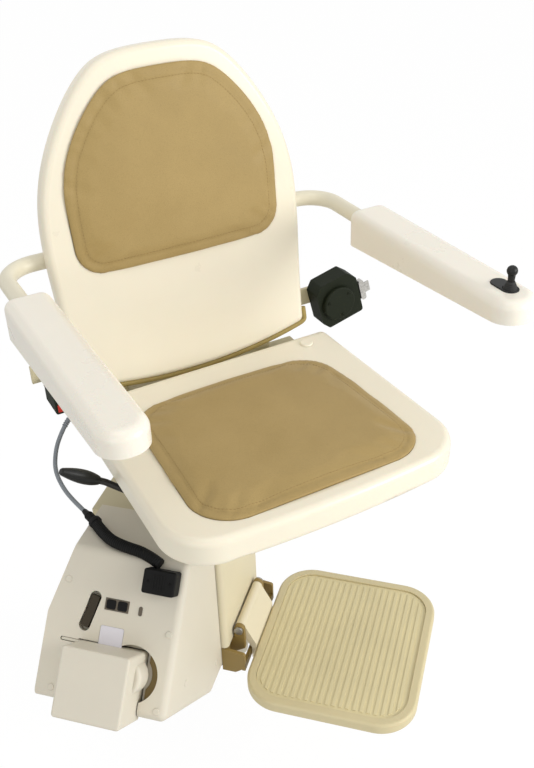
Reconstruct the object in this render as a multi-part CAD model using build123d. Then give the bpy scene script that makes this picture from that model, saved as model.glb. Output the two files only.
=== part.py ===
from build123d import *
import math
import os

# Stairlift chair: carriage on a sloping rail, swivelling fold-up seat with
# fold-up arms, and a hinged footrest. All sizes are in millimetres.
#
# The origin is on the rail's centre line at the middle of the carriage.
# +X runs downhill along the stairs, +Y points to the wall, +Z is up.
# The chair is drawn swivelled towards the upper landing, as it is for
# getting on and off. Lengths marked "along" and "up" in the carriage are
# measured along the rail (downhill) and square to it.

# ---------------------------------------------------------------- rail
RAIL_ANGLE = 39.5
RAIL_HEIGHT = 90.0
RAIL_FRONT_Y = -25.0

# ---------------------------------------------------------------- carriage
CARRIAGE_LENGTH = 460.0
COVER_FRONT_Y = -243.0
COVER_WALL = 3.5
COVER_EDGE_ROUND = 11.0
UPHILL_BOTTOM = -95.0
DOWNHILL_BOTTOM = -59.0
DOWNHILL_TOP = 90.0
LEVEL_TOP_Z = 248.0
LEVEL_LOW_Z = -78.0
SHOULDER_DROP = 78.0
SHOULDER_INSET = 26.0
PANEL_GAP = 1.2

PLATE_BACK_Y = -35.0
PLATE_THICK = 6.0
PLATE_FRONT_Y = PLATE_BACK_Y - PLATE_THICK
PLATE_MARGIN = 9.0
PLATE_CLEARANCE = 0.4
STRIP_END_GAP = 15.0
STRIP_LOW = -91.0

# ---------------------------------------------------------------- column
COLUMN_WIDTH = 178.0
COLUMN_FRONT_Y = -255.0
COLUMN_BOTTOM_Z = -31.0
COLUMN_TOP_Z = 200.0
POST_WIDTH = 90.0
POST_SHEET = 6.0
HEAD_THICK = 40.0
HEAD_NOSE_RADIUS = 34.0

# ---------------------------------------------------------------- swivel
SWIVEL_X = 95.0
SWIVEL_Y = -278.0
SEAT_TOP_Z = 415.0
SEAT_TURN = 45.0
SWIVEL_BACK = 45.0
SWIVEL_POST_RADIUS = 22.0
RUNNING_GAP = 0.05
BUSH_WALL = 3.0
BUSH_FLANGE = 2.0
THRUST_GAP = 0.1
SOCKET_WALL = 6.0
INDEX_PLATE_RADIUS = 82.0
INDEX_PLATE_THICK = 6.0
INDEX_PITCH_RADIUS = 66.0
INDEX_STEP = 45.0
LATCH_RADIUS = 5.0
LATCH_TIP_GAP = 0.4

# ---------------------------------------------------------------- rollers and drive
ROLLER_TREAD_RADIUS = 22.0
ROLLER_FLANGE_RADIUS = 28.0
ROLLER_WIDTH = 28.0
UPPER_ROLLERS = (-45.0, 195.0)
LOWER_ROLLERS = (-95.0, 195.0)
AXLE_RADIUS = 8.0
AXLE_HEAD_RADIUS = 14.0
PINION_TEETH = 12
PINION_MODULE = 5.0
PINION_WIDTH = 20.0
MOTOR_RADIUS = 31.0
MOTOR_LENGTH = 150.0
DRIVE_UP = -21.0
GEARBOX_LENGTH = 84.0
GEARBOX_HEIGHT = 64.0
DRIVE_CLEARANCE = 3.0
MOTOR_END_GAP = 40.0
MOTOR_FROM_PINION = 60.0
BATTERY_LENGTH = 90.0
BATTERY_WIDTH = 70.0
BATTERY_HEIGHT = 101.0
BATTERY_END_GAP = 22.0

# ---------------------------------------------------------------- bumpers
BUMPER_WIDTH = 105.0
BUMPER_STANDOUT = 60.0
BUMPER_TRAVEL = 8.0
BUMPER_CENTRE_Y = -145.0
UPHILL_BUMPER_HEIGHT = 101.0
UPHILL_BUMPER_BOTTOM = -103.0
DOWNHILL_BUMPER_HEIGHT = 92.0
DOWNHILL_BUMPER_BOTTOM = -50.0
BUMPER_GAP = 1.5
BUMPER_SKIRT = 16.0

# ---------------------------------------------------------------- footrest
HINGE_Y = -266.0
HINGE_Z = -13.0
HINGE_LENGTH = 102.0
HINGE_PIN_RADIUS = 5.0
KNUCKLE_RADIUS = 9.0
FOOTREST_WIDTH = 320.0
FOOTREST_DEPTH = 285.0
FOOTREST_TOP_Z = -55.0
FOOTREST_THICK = 22.0
FOOTREST_BACK_Y = -292.0
FOOTREST_CORNER = 62.0
MAT_MARGIN = 15.0
MAT_RIBS = 21

# ---------------------------------------------------------------- seat
SEAT_HALF_REAR = 221.0
SEAT_HALF_FRONT = 229.0
SEAT_REAR_Y = 97.5
SEAT_CORNER_Y = -292.0
SEAT_NOSE_Y = -306.0
SEAT_THICK = 45.0
SEAT_CORNER_RADIUS = 74.0
SEAT_EDGE_ROUND = 11.0
SEAT_SKIN = 4.0
SEAT_FOLD_RADIUS = SEAT_THICK / 2
PAD_REAR_Y = 25.0
PAD_FRONT_Y = -277.0
PAD_REAR_HALF = 163.0
PAD_FRONT_HALF = 180.0
PAD_CORNER = 64.0
PAD_RECESS = 4.0
PAD_CROWN = 11.0
PAD_CLEARANCE = 0.5
RAIL_HALF_SPACING = 130.0
FRAME_TUBE = 25.0
FRAME_TOP_Z = -70.0
FRAME_FRONT_Y = -222.0
STOP_STATIONS = (-200.0, -60.0)
SWIVEL_PLATE_THICK = 8.0
SWIVEL_PLATE_RADIUS = 88.0

# ---------------------------------------------------------------- backrest
BACK_FRONT_Y = 119.6
RECLINE = 8.3
BACK_THICK = 24.0
BACK_HALF_LOW = 203.0
BACK_HALF_HIGH = 177.0
BACK_HIGH = 372.0
BACK_TOP = 489.0
BACK_BOTTOM_SIDE = 6.0
BACK_BOTTOM_MID = -20.0
BACK_EDGE_ROUND = 10.0
BACK_PAD_HALF_LOW = 169.0
BACK_PAD_HALF_HIGH = 151.0
BACK_PAD_BOTTOM = 177.0
BACK_PAD_HIGH = 364.0
BACK_PAD_TOP = 458.0
BACK_PAD_CORNER = 44.0
LOWER_BAR_HALF = 188.0

# ---------------------------------------------------------------- arms
ARM_X = 276.0
ARM_PIVOT_Y = 191.0
ARM_PIVOT_Z = 196.0
ARM_BAR_RADIUS = 12.5
ARM_BEND = 52.0
ARM_PAD_WIDTH = 66.0
ARM_PAD_TOP_Z = 222.0
ARM_PAD_DEEP_REAR = 57.0
ARM_PAD_DEEP_TIP = 32.0
ARM_PAD_REAR_Y = 55.0
ARM_PAD_TIP_Y = -323.0
ARM_BAR_SHORT = 125.0
ARM_PAD_ROUND = 14.0
ARM_SOCKET_WALL = 4.5

# ---------------------------------------------------------------- cable
CABLE_RADIUS = 3.5
SLEEVE_RADIUS = 9.0

# ---------------------------------------------------------------- uphill end fittings
SCALLOP_Y = -180.0
SCALLOP_UP = -36.0
SCALLOP_RADIUS = 42.0
SCALLOP_DEPTH = 14.0
ISOLATOR_Y = -102.0
ISOLATOR_UP = 42.0
ISOLATOR_TILT = 14.0
ISOLATOR_LENGTH = 62.0
ISOLATOR_WIDTH = 18.0
TRUNNION_RADIUS = 1.5
TRUNNION_REACH = 10.0
TRUNNION_DEPTH = -4.5
DISPLAY_Y = -142.5
DISPLAY_UP = 57.0
DISPLAY_WIDTH = 38.0
DISPLAY_HEIGHT = 18.0
LAMP_Y = -180.0
LAMP_UP = 55.0
PLUG_Y = -209.0
PLUG_UP = 104.0
PLUG_WIDTH = 50.0
PLUG_HEIGHT = 36.0
BLANK_Y = -141.0
BLANK_UP = 9.0
CATCH_Y = -80.0
CATCH_UP = -5.0

# ---------------------------------------------------------------- batteries and board
BATTERY_LOW = 15.0
BATTERY_FRONT_Y = -232.0
BOARD_LEFT = -76.0
BOARD_LOW = 76.0

# ---------------------------------------------------------------- bumper guides
GUIDE_RADIUS = 4.0
GUIDE_OFFSET = 30.0

# ---------------------------------------------------------------- footrest bracket
LUG_WIDTH = 8.0
LUG_GAP = 0.5
CHEEK_THICK = 6.0
CHEEK_FRONT_Y = -284.0
CHEEK_LOW_Z = -85.0
CHEEK_TOP_Z = -33.5

# ---------------------------------------------------------------- swivel latch
LEVER_PIVOT_X = -95.0
LEVER_Z = -124.0
LEVER_ROD_RADIUS = 5.0
LEVER_ELBOW_X = -160.0
LEVER_KNEE = (-232.0, -54.0)
LEVER_TIP = (-290.0, -12.0)
LATCH_COLLAR_Z = LEVER_Z + LEVER_ROD_RADIUS + 0.3

# ---------------------------------------------------------------- joystick
JOYSTICK_X = 279.0
JOYSTICK_Y = -283.0
BEZEL_LENGTH = 46.0
BEZEL_WIDTH = 24.0

# ---------------------------------------------------------------- belt
BELT_BAR_Y = 171.0
BELT_BAR_LEFT = 262.0
BELT_BAR_RIGHT = 300.0
RETRACTOR_X = 284.0
RETRACTOR_Z = 14.0
RETRACTOR_WIDTH = 82.0
RETRACTOR_HEIGHT = 88.0
RETRACTOR_DEEP = 42.0
RETRACTOR_TILT = 14.0
MOUTH_HEIGHT = 40.0
MOUTH_UP = -14.0
WEBBING_THICK = 2.4
WEBBING_OUT = 8.0
BUCKLE_X = -243.0
BUCKLE_Z = 3.0
BUCKLE_FRONT_Y = 92.0
BUCKLE_LENGTH = 52.0

# ---------------------------------------------------------------- cable routes
SLEEVE_START = (-48.0, -74.0, 259.0)
SLEEVE_POINTS = [SLEEVE_START, (-76.0, -104.0, 258.2), (-88.0, -140.0, 258.2), (-93.0, -176.0, 258.2), (-103.0, -202.0, 251.0)]
CABLE_POINTS = [
    (62.0, 14.0, 352.0), (50.0, 22.0, 334.0), (36.0, 26.0, 312.0), (16.0, 20.0, 291.0),
    (-4.0, -2.0, 275.0), (-20.0, -28.0, 266.0), (-32.0, -50.0, 261.5),
]

# ---------------------------------------------------------------- worked-out values
SIN_A = math.sin(math.radians(RAIL_ANGLE))
COS_A = math.cos(math.radians(RAIL_ANGLE))
INCLINE = Rot(0, RAIL_ANGLE, 0)
COLUMN_LEFT = SWIVEL_X - COLUMN_WIDTH / 2
COLUMN_RIGHT = SWIVEL_X + COLUMN_WIDTH / 2
END_ALONG = CARRIAGE_LENGTH / 2
BATTERY_START = -END_ALONG + BATTERY_END_GAP
PINION_ALONG = -END_ALONG + MOTOR_END_GAP + MOTOR_LENGTH + MOTOR_FROM_PINION
SEAT = Pos(SWIVEL_X, SWIVEL_Y, SEAT_TOP_Z) * Rot(0, 0, -SEAT_TURN) * Pos(0, SWIVEL_BACK, 0)
SWIVEL_PLATE_LOW = FRAME_TOP_Z - FRAME_TUBE - SWIVEL_PLATE_THICK
INDEX_TOP_Z = COLUMN_TOP_Z + HEAD_THICK + INDEX_PLATE_THICK
SOCKET_LOW = INDEX_TOP_Z + THRUST_GAP + BUSH_FLANGE - SEAT_TOP_Z
BACK = SEAT * Pos(0, BACK_FRONT_Y, 0) * Rot(90 - RECLINE, 0, 0)

NODES = {}


# ---------------------------------------------------------------- helpers
def polygon(*points):
    """A filled outline that faces up whichever way round its points run."""
    twice_area = sum(a[0] * b[1] - b[0] * a[1] for a, b in zip(points, points[1:] + points[:1]))
    return Polygon(*(points if twice_area > 0 else points[::-1]), align=None)


def slab_x(face, low, high):
    return extrude(Plane.YZ.offset(low) * face, high - low, dir=(1, 0, 0))


def slab_y(face, low, high):
    return extrude(Plane.XZ.offset(-high) * face, high - low, dir=(0, -1, 0))


def slab_z(face, low, high):
    return extrude(Plane.XY.offset(low) * face, high - low, dir=(0, 0, 1))


def block(x, y, z):
    """A box from its lowest and highest value on each axis."""
    corner = Pos(x[0], y[0], z[0])
    return corner * Box(x[1] - x[0], y[1] - y[0], z[1] - z[0], align=Align.MIN)


def pin_up(radius, length):
    return Cylinder(radius, length, align=(Align.CENTER, Align.CENTER, Align.MIN))


def rod_x(radius, low, high, y=0, z=0):
    return Pos(low, y, z) * Rot(0, 90, 0) * pin_up(radius, high - low)


def rod_y(radius, low, high, x=0, z=0):
    return Pos(x, low, z) * Rot(-90, 0, 0) * pin_up(radius, high - low)


def rod_z(radius, low, high, x=0, y=0):
    return Pos(x, y, low) * pin_up(radius, high - low)


def from_rail(along, up):
    """The X and Z of a point given along the rail and square to it."""
    return (along * COS_A + up * SIN_A, -along * SIN_A + up * COS_A)


def level_crossing_of_end(along, z):
    """The X at which the plane square to the rail at this station reaches height z."""
    return (along + z * SIN_A) / COS_A


def level_crossing_of_line(up, z):
    """The X at which the line parallel to the rail reaches height z."""
    return (up - z * COS_A) / SIN_A


def tube_along(points, radius, radii):
    path = FilletPolyline(*points, radius=radii)
    start = Plane(origin=points[0], z_dir=Vector(*points[1]) - Vector(*points[0]))
    return sweep(start * Circle(radius), path=path)


def cushion(face, foot, shoulder, crown, centre, draw_in=2.5, edge_round=3.0):
    """A pad with drawn-in sides and a crowned top, from its outline."""
    body = slab_z(face, foot, crown + 1)
    body = fillet(body.faces().sort_by(Axis.Z)[0].edges(), draw_in)
    reach = max(abs(v.Y - centre[1]) + abs(v.X - centre[0]) for v in face.vertices()) * 0.8
    dome_radius = (reach ** 2) / (2 * (crown - shoulder - edge_round))
    body = body & (Pos(centre[0], centre[1], crown - dome_radius) * Rot(90, 0, 0) * Sphere(dome_radius))
    top = body.faces().sort_by(Axis.Z)[-1]
    return fillet(top.edges(), edge_round)


# ---------------------------------------------------------------- carriage covers
def uphill_outline(inset=0.0):
    bottom = UPHILL_BOTTOM + inset
    end = -END_ALONG + inset
    low = LEVEL_LOW_Z + inset
    top = LEVEL_TOP_Z - inset
    right = COLUMN_LEFT - PANEL_GAP - inset
    points = [
        from_rail(end, bottom),
        (level_crossing_of_line(bottom, low), low),
        (right, low),
        (right, top),
        (level_crossing_of_end(end, top), top),
    ]
    face = polygon(*points)
    face = fillet(face.vertices().sort_by(Axis.X)[0], 12)
    return fillet(face.vertices().sort_by(Axis.Y)[-2:].sort_by(Axis.X)[0], 16)


def shoulder_wedge(inset=0.0):
    """What the sloped wall-side shoulder takes off the level top."""
    slope = SHOULDER_INSET / SHOULDER_DROP
    tall = SHOULDER_DROP + 40
    edge = PLATE_BACK_Y - inset
    wedge = polygon(
        (edge, LEVEL_TOP_Z - SHOULDER_DROP),
        (edge + 60, LEVEL_TOP_Z - SHOULDER_DROP),
        (edge + 60, LEVEL_TOP_Z + 40),
        (edge - slope * tall, LEVEL_TOP_Z + 40),
    )
    return slab_x(wedge, -CARRIAGE_LENGTH, COLUMN_LEFT)


def end_plane(along, uphill=True):
    """Plane of a carriage end: local x is towards the room, local y is up the end."""
    x, z = from_rail(along, 0)
    out = -1 if uphill else 1
    return Plane(origin=(x, 0, z), x_dir=(0, -1, 0) if uphill else (0, 1, 0), z_dir=(out * COS_A, 0, -out * SIN_A))


UPHILL_END = end_plane(-END_ALONG, True)
DOWNHILL_END = end_plane(END_ALONG, False)


def on_uphill_end(face, y, up, low, high):
    """Extrude a face on the uphill end from depth low to high (outwards is positive)."""
    return extrude(UPHILL_END.offset(low) * Pos(-y, up) * face, high - low)


def bumper_window(low, height, clearance, uphill, depth_low, depth_high):
    side = UPHILL_END if uphill else DOWNHILL_END
    centre_x = -BUMPER_CENTRE_Y if uphill else BUMPER_CENTRE_Y
    face = Rectangle(BUMPER_WIDTH + 2 * clearance, height + 2 * clearance)
    return extrude(side.offset(depth_low) * Pos(centre_x, low + height / 2) * face, depth_high - depth_low)


def make_uphill_cover():
    outer = slab_y(uphill_outline(), COVER_FRONT_Y, PLATE_BACK_Y)
    front = outer.faces().sort_by(Axis.Y)[0]
    column_side = COLUMN_LEFT - PANEL_GAP - 1
    edges = [e for e in front.edges() if e.center().X < column_side]
    outer = fillet(edges, COVER_EDGE_ROUND)
    outer -= shoulder_wedge()
    inner = slab_y(uphill_outline(COVER_WALL), COVER_FRONT_Y + COVER_WALL, PLATE_BACK_Y)
    front = inner.faces().sort_by(Axis.Y)[0]
    edges = [e for e in front.edges() if e.center().X < column_side - COVER_WALL]
    inner = fillet(edges, COVER_EDGE_ROUND - COVER_WALL)
    inner -= shoulder_wedge(COVER_WALL)
    cover = outer - inner
    passage = block((COLUMN_LEFT - 30, COLUMN_LEFT + 10), (COVER_FRONT_Y + 24, PLATE_FRONT_Y),
                    (LEVEL_LOW_Z + COVER_WALL, 120))
    cover -= passage
    cover -= chassis_blank(PLATE_CLEARANCE)
    cup = on_uphill_end(Circle(SCALLOP_RADIUS + 3), SCALLOP_Y, SCALLOP_UP, -SCALLOP_DEPTH - 3, -1)
    cover += cup & slab_y(uphill_outline(1), COVER_FRONT_Y + 1, PLATE_FRONT_Y)
    cover -= on_uphill_end(Circle(SCALLOP_RADIUS), SCALLOP_Y, SCALLOP_UP, -SCALLOP_DEPTH, 5)
    slot = Rot(0, 0, -ISOLATOR_TILT) * SlotOverall(ISOLATOR_LENGTH, ISOLATOR_WIDTH, rotation=90)
    cup = Rot(0, 0, -ISOLATOR_TILT) * SlotOverall(ISOLATOR_LENGTH + 5, ISOLATOR_WIDTH + 5, rotation=90)
    cover += on_uphill_end(cup, ISOLATOR_Y, ISOLATOR_UP, -14, -1)
    cover -= on_uphill_end(slot, ISOLATOR_Y, ISOLATOR_UP, -11.5, 5)
    bearing = TRUNNION_REACH + 0.2
    cover -= isolator_place() * rod_x(TRUNNION_RADIUS + RUNNING_GAP, -bearing, bearing, 0, TRUNNION_DEPTH)
    cover -= on_uphill_end(Rectangle(DISPLAY_WIDTH, DISPLAY_HEIGHT), DISPLAY_Y, DISPLAY_UP, -10, 5)
    cover -= on_uphill_end(SlotOverall(14, 6, rotation=90), LAMP_Y, LAMP_UP, -10, 5)
    cover -= on_uphill_end(Rectangle(PLUG_WIDTH - 10, PLUG_HEIGHT - 10), PLUG_Y, PLUG_UP, -10, 5)
    cover -= on_uphill_end(RectangleRounded(38, 33, 3), BLANK_Y, BLANK_UP, -0.8, 5)
    cover -= on_uphill_end(SlotOverall(36, 6), CATCH_Y, CATCH_UP, -10, 5)
    cover -= bumper_window(UPHILL_BUMPER_BOTTOM, UPHILL_BUMPER_HEIGHT, BUMPER_GAP, True, -30, 20)
    return cover


def downhill_outline(inset=0.0, open_top=False):
    bottom = DOWNHILL_BOTTOM + inset
    top = DOWNHILL_TOP - inset
    end = END_ALONG - inset
    left = COLUMN_LEFT + inset
    level = COLUMN_BOTTOM_Z - PANEL_GAP
    right = COLUMN_RIGHT - (inset if open_top else 0)
    start_z = (bottom - left * SIN_A) / COS_A
    shelf_z = (top - (COLUMN_RIGHT + PANEL_GAP) * SIN_A) / COS_A
    points = [
        (left, start_z),
        from_rail(end, bottom),
        from_rail(end, top),
        (COLUMN_RIGHT + PANEL_GAP, shelf_z),
        (COLUMN_RIGHT + PANEL_GAP, level + (10 if open_top else 0)),
        (left, level + (10 if open_top else 0)),
    ]
    face = polygon(*points)
    ends = face.vertices().sort_by(Axis.X)[-1]
    face = fillet(ends, 14)
    low = face.vertices().sort_by(Axis.Y)[0]
    return fillet(low, 12)


def make_downhill_cover():
    outer = slab_y(downhill_outline(), COVER_FRONT_Y, PLATE_FRONT_Y)
    level = COLUMN_BOTTOM_Z - PANEL_GAP
    front = outer.faces().sort_by(Axis.Y)[0]
    edges = [e for e in front.edges() if e.center().Z < level - 1 and e.center().X > COLUMN_LEFT + 1]
    outer = fillet(edges, COVER_EDGE_ROUND)
    inner = slab_y(downhill_outline(COVER_WALL, True), COVER_FRONT_Y + COVER_WALL, PLATE_FRONT_Y)
    cover = outer - inner
    cover -= bumper_window(DOWNHILL_BUMPER_BOTTOM, DOWNHILL_BUMPER_HEIGHT, BUMPER_GAP, False, -30, 20)
    passage = polygon((COLUMN_LEFT - 5, LEVEL_LOW_Z + COVER_WALL), (COLUMN_LEFT + 8, LEVEL_LOW_Z + COVER_WALL),
                      (COLUMN_LEFT + 8, 0), (COLUMN_LEFT - 5, 0))
    cover -= slab_y(passage, COVER_FRONT_Y + 24, PLATE_FRONT_Y)
    for station in roller_stations():
        x, z = from_rail(*station)
        cover -= rod_y(AXLE_HEAD_RADIUS + 2, PLATE_FRONT_Y - 10, PLATE_FRONT_Y + 1, x, z)
    return cover


def make_column_cover():
    wide = COLUMN_WIDTH
    outer_face = Rectangle(wide, PLATE_FRONT_Y - COLUMN_FRONT_Y, align=(Align.CENTER, Align.MIN))
    outer = Pos(SWIVEL_X, COLUMN_FRONT_Y) * slab_z(outer_face, COLUMN_BOTTOM_Z, COLUMN_TOP_Z)
    front_uprights = outer.edges().filter_by(Axis.Z).sort_by(Axis.Y)[0:2]
    outer = fillet(front_uprights, 9)
    cover = outer - block(
        (COLUMN_LEFT + COVER_WALL, COLUMN_RIGHT - COVER_WALL),
        (COLUMN_FRONT_Y + COVER_WALL, 0),
        (COLUMN_BOTTOM_Z - 10, COLUMN_TOP_Z + 10),
    )
    cover -= block((COLUMN_LEFT - 10, COLUMN_LEFT + 10), (COVER_FRONT_Y + 20, 0), (COLUMN_BOTTOM_Z - 10, COLUMN_TOP_Z + 10))
    return cover


def chassis_blank(grow=0.0):
    """The plate before drilling: a strip along the rail and a panel behind the uphill cover and column."""
    half = END_ALONG - STRIP_END_GAP + grow
    low = STRIP_LOW - grow
    high = DOWNHILL_TOP - 6 + grow
    y = (PLATE_FRONT_Y - grow, PLATE_BACK_Y + grow)
    strip = INCLINE * slab_y(polygon((-half, low), (half, low), (half, high), (-half, high)), *y)
    panel = slab_y(uphill_outline(PLATE_MARGIN - grow), *y)
    panel += block((COLUMN_LEFT - 15, COLUMN_RIGHT - 4), y, (-60, COLUMN_TOP_Z - 3))
    return (panel + strip) - shoulder_wedge(COVER_WALL + 2 - grow)


def make_chassis_plate():
    plate = chassis_blank()
    for station in roller_stations():
        x, z = from_rail(*station)
        plate -= rod_y(AXLE_RADIUS, PLATE_FRONT_Y - 1, PLATE_BACK_Y + 1, x, z)
    x, z = from_rail(*pinion_station())
    plate -= rod_y(AXLE_RADIUS + 6, PLATE_FRONT_Y - 1, PLATE_BACK_Y + 1, x, z)
    return plate


# ---------------------------------------------------------------- rollers and drive
def roller_stations():
    up = RAIL_HEIGHT / 2 + ROLLER_TREAD_RADIUS
    return [(along, up) for along in UPPER_ROLLERS] + [(along, -up) for along in LOWER_ROLLERS]


def pinion_station():
    return (PINION_ALONG, -PINION_TEETH * PINION_MODULE / 2)


def make_roller():
    """One grooved roller about the Y axis, its groove fitting the rail's round edge."""
    half = ROLLER_WIDTH / 2
    bore = AXLE_RADIUS + RUNNING_GAP
    groove = ROLLER_FLANGE_RADIUS - ROLLER_TREAD_RADIUS
    lip = 5.0
    side = polygon((-half, bore), (half, bore), (half, ROLLER_FLANGE_RADIUS), (half - lip, ROLLER_FLANGE_RADIUS),
                   (-half + lip, ROLLER_FLANGE_RADIUS), (-half, ROLLER_FLANGE_RADIUS))
    cut_radius = ((half - lip) ** 2 + groove ** 2) / (2 * groove)
    side -= Pos(0, ROLLER_TREAD_RADIUS + cut_radius) * Circle(cut_radius)
    body = Rot(0, 0, 90) * revolve(side, Axis.X)
    recess = rod_y(ROLLER_TREAD_RADIUS - 5, half - 4, half + 1) - rod_y(AXLE_RADIUS + 5, half - 4, half + 1)
    body -= recess
    return body - mirror(recess, Plane.XZ)


def make_axles():
    """Four stub axles riveted into the plate, with their end washers."""
    parts = []
    tip = ROLLER_WIDTH / 2
    for station in roller_stations():
        x, z = from_rail(*station)
        axle = rod_y(AXLE_RADIUS, PLATE_FRONT_Y - 8, tip + 4, x, z)
        axle += rod_y(AXLE_RADIUS + 5, PLATE_BACK_Y, -tip - 0.3, x, z)
        axle += rod_y(AXLE_RADIUS + 5, tip + 0.3, tip + 4, x, z)
        axle += Pos(x, PLATE_FRONT_Y, z) * Rot(90, 0, 0) * extrude(RegularPolygon(AXLE_HEAD_RADIUS, 6), 8)
        parts.append(axle)
    return parts


def gear_outline(teeth, module, bore):
    """A plain involute-like gear face: each tooth is a tapered flank with a flat tip."""
    pitch = teeth * module / 2
    root = pitch - 1.2 * module
    tip = pitch + module
    half_root = math.radians(360 / teeth) * 0.33
    half_tip = math.radians(360 / teeth) * 0.13
    face = Circle(root)
    for i in range(teeth):
        a = 2 * math.pi * i / teeth
        corners = [(root - 1, -half_root), (tip, -half_tip), (tip, half_tip), (root - 1, half_root)]
        face += polygon(*[(r * math.cos(a + b), r * math.sin(a + b)) for r, b in corners])
    return face - Circle(bore)


def make_drive_pinion():
    x, z = from_rail(*pinion_station())
    half = PINION_WIDTH / 2
    gear = slab_y(gear_outline(PINION_TEETH, PINION_MODULE, 4), -half, half)
    shaft = rod_y(AXLE_RADIUS + 1, PLATE_FRONT_Y - 20, half + 8)
    collar = rod_y(AXLE_RADIUS + 5, PLATE_BACK_Y + 2, -half)
    nut = Pos(0, half, 0) * Rot(-90, 0, 0) * extrude(RegularPolygon(13, 6), 7)
    return Pos(x, 0, z) * (gear + shaft + collar + nut)


def make_gearbox():
    """Worm gearbox bolted to the front of the plate, with ribbed cover and output bore."""
    along, up = pinion_station()
    face = RectangleRounded(GEARBOX_LENGTH, GEARBOX_HEIGHT, 14)
    box = slab_y(face, PLATE_FRONT_Y - 78, PLATE_FRONT_Y)
    box += slab_y(Circle(27), PLATE_FRONT_Y - 84, PLATE_FRONT_Y - 78)
    for angle in range(0, 360, 60):
        box += Rot(0, angle, 0) * block((10, 25), (PLATE_FRONT_Y - 88, PLATE_FRONT_Y - 83), (-2, 2))
    box += rod_x(MOTOR_RADIUS - 5, -MOTOR_FROM_PINION, -GEARBOX_LENGTH / 2 + 2, PLATE_FRONT_Y - 45, 0)
    box -= rod_y(AXLE_RADIUS + 1 + RUNNING_GAP, PLATE_FRONT_Y - 21, PLATE_FRONT_Y + 1, 0, up - DRIVE_UP)
    return INCLINE * (Pos(along, 0, DRIVE_UP) * box)


def make_motor():
    """Motor can with end bell and holding brake, lying along the rail uphill of the gearbox."""
    along, up = pinion_station()[0], DRIVE_UP
    start = along - MOTOR_FROM_PINION
    y = PLATE_FRONT_Y - 45
    can = rod_x(MOTOR_RADIUS, start - MOTOR_LENGTH + 34, start, y, up)
    can = fillet(can.edges().filter_by(GeomType.CIRCLE), 4)
    bell = rod_x(MOTOR_RADIUS - 4, start - MOTOR_LENGTH + 8, start - MOTOR_LENGTH + 34, y, up)
    brake = rod_x(MOTOR_RADIUS - 14, start - MOTOR_LENGTH, start - MOTOR_LENGTH + 8, y, up)
    return INCLINE * (can + bell + brake)


def make_batteries():
    """Two sealed batteries side by side, each with its two terminals."""
    top = BATTERY_LOW + BATTERY_HEIGHT - 6
    cases = []
    for place in (0, 1):
        y = BATTERY_FRONT_Y + place * (BATTERY_WIDTH + 3)
        case = block((BATTERY_START, BATTERY_START + BATTERY_LENGTH), (y, y + BATTERY_WIDTH), (BATTERY_LOW, top))
        case = fillet(case.edges().filter_by(Axis.Z), 3)
        for share in (0.12, 0.88):
            terminal = block((-4, 4), (-3, 3), (0, 6))
            case += Pos(BATTERY_START + share * BATTERY_LENGTH, y + BATTERY_WIDTH / 2, top) * terminal
        cases.append(INCLINE * case)
    return cases


def make_battery_tray():
    """Folded tray under both batteries, screwed to the plate by its rear flange."""
    low = BATTERY_LOW - 3
    x = (BATTERY_START - 2, BATTERY_START + BATTERY_LENGTH + 2)
    front = BATTERY_FRONT_Y - 3
    tray = block(x, (front, PLATE_FRONT_Y), (low, low + 2.5))
    tray += block(x, (front, front + 2.5), (low, low + 22))
    tray += block(x, (PLATE_FRONT_Y - 2.5, PLATE_FRONT_Y), (low, low + 30))
    return INCLINE * tray


def make_control_board():
    """Control board on four pillars off the plate, beside the column."""
    y = PLATE_FRONT_Y - 26
    left, low = BOARD_LEFT, BOARD_LOW
    board = block((left, left + 68), (y - 2, y), (low, low + 88))
    for x in (left + 6, left + 62):
        for z in (low + 6, low + 82):
            board += rod_y(4, y, PLATE_FRONT_Y, x, z)
    board += block((left + 12, left + 38), (y - 16, y - 2), (low + 10, low + 34))
    board += block((left + 44, left + 60), (y - 12, y - 2), (low + 14, low + 76))
    for i in range(2):
        board += rod_y(7, y - 20, y - 2, left + 22, low + 48 + 17 * i)
    return board


# ---------------------------------------------------------------- bumpers


def make_bumper(bottom, height, uphill):
    """Hollow safety bumper: five walls, with two guide bosses inside."""
    side = UPHILL_END if uphill else DOWNHILL_END
    centre_x = -BUMPER_CENTRE_Y if uphill else BUMPER_CENTRE_Y
    place = side * Pos(centre_x, bottom + height / 2)
    face = RectangleRounded(BUMPER_WIDTH, height, 5)
    inside = RectangleRounded(BUMPER_WIDTH - 8, height - 8, 3)
    body = extrude(face, BUMPER_STANDOUT + BUMPER_SKIRT)
    body = fillet(body.faces().sort_by(Axis.Z)[-1].edges(), 3.5)
    body -= extrude(inside, BUMPER_STANDOUT + BUMPER_SKIRT - 4)
    for s in (-1, 1):
        boss = Pos(s * GUIDE_OFFSET, 0, BUMPER_SKIRT + BUMPER_STANDOUT - 30) * Cylinder(9, 27, align=(Align.CENTER, Align.CENTER, Align.MIN))
        bore = Pos(s * GUIDE_OFFSET, 0, 0) * Cylinder(GUIDE_RADIUS + RUNNING_GAP, BUMPER_STANDOUT + BUMPER_SKIRT - 5, align=(Align.CENTER, Align.CENTER, Align.MIN))
        body += boss
        body -= bore
    body = Pos(0, 0, -BUMPER_SKIRT) * body
    if uphill:
        bulge_x = -SCALLOP_Y + BUMPER_CENTRE_Y
        bulge_y = SCALLOP_UP - bottom - height / 2
        bulge = Pos(bulge_x, bulge_y, -3) * Cylinder(27, 33, align=(Align.CENTER, Align.CENTER, Align.MIN))
        bulge = fillet(bulge.faces().sort_by(Axis.Z)[-1].edges(), 6)
        bulge -= block((-BUMPER_WIDTH / 2 + 2, BUMPER_WIDTH / 2 - 2), (-height, height), (-10, 40))
        body += bulge
    return place * body


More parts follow.
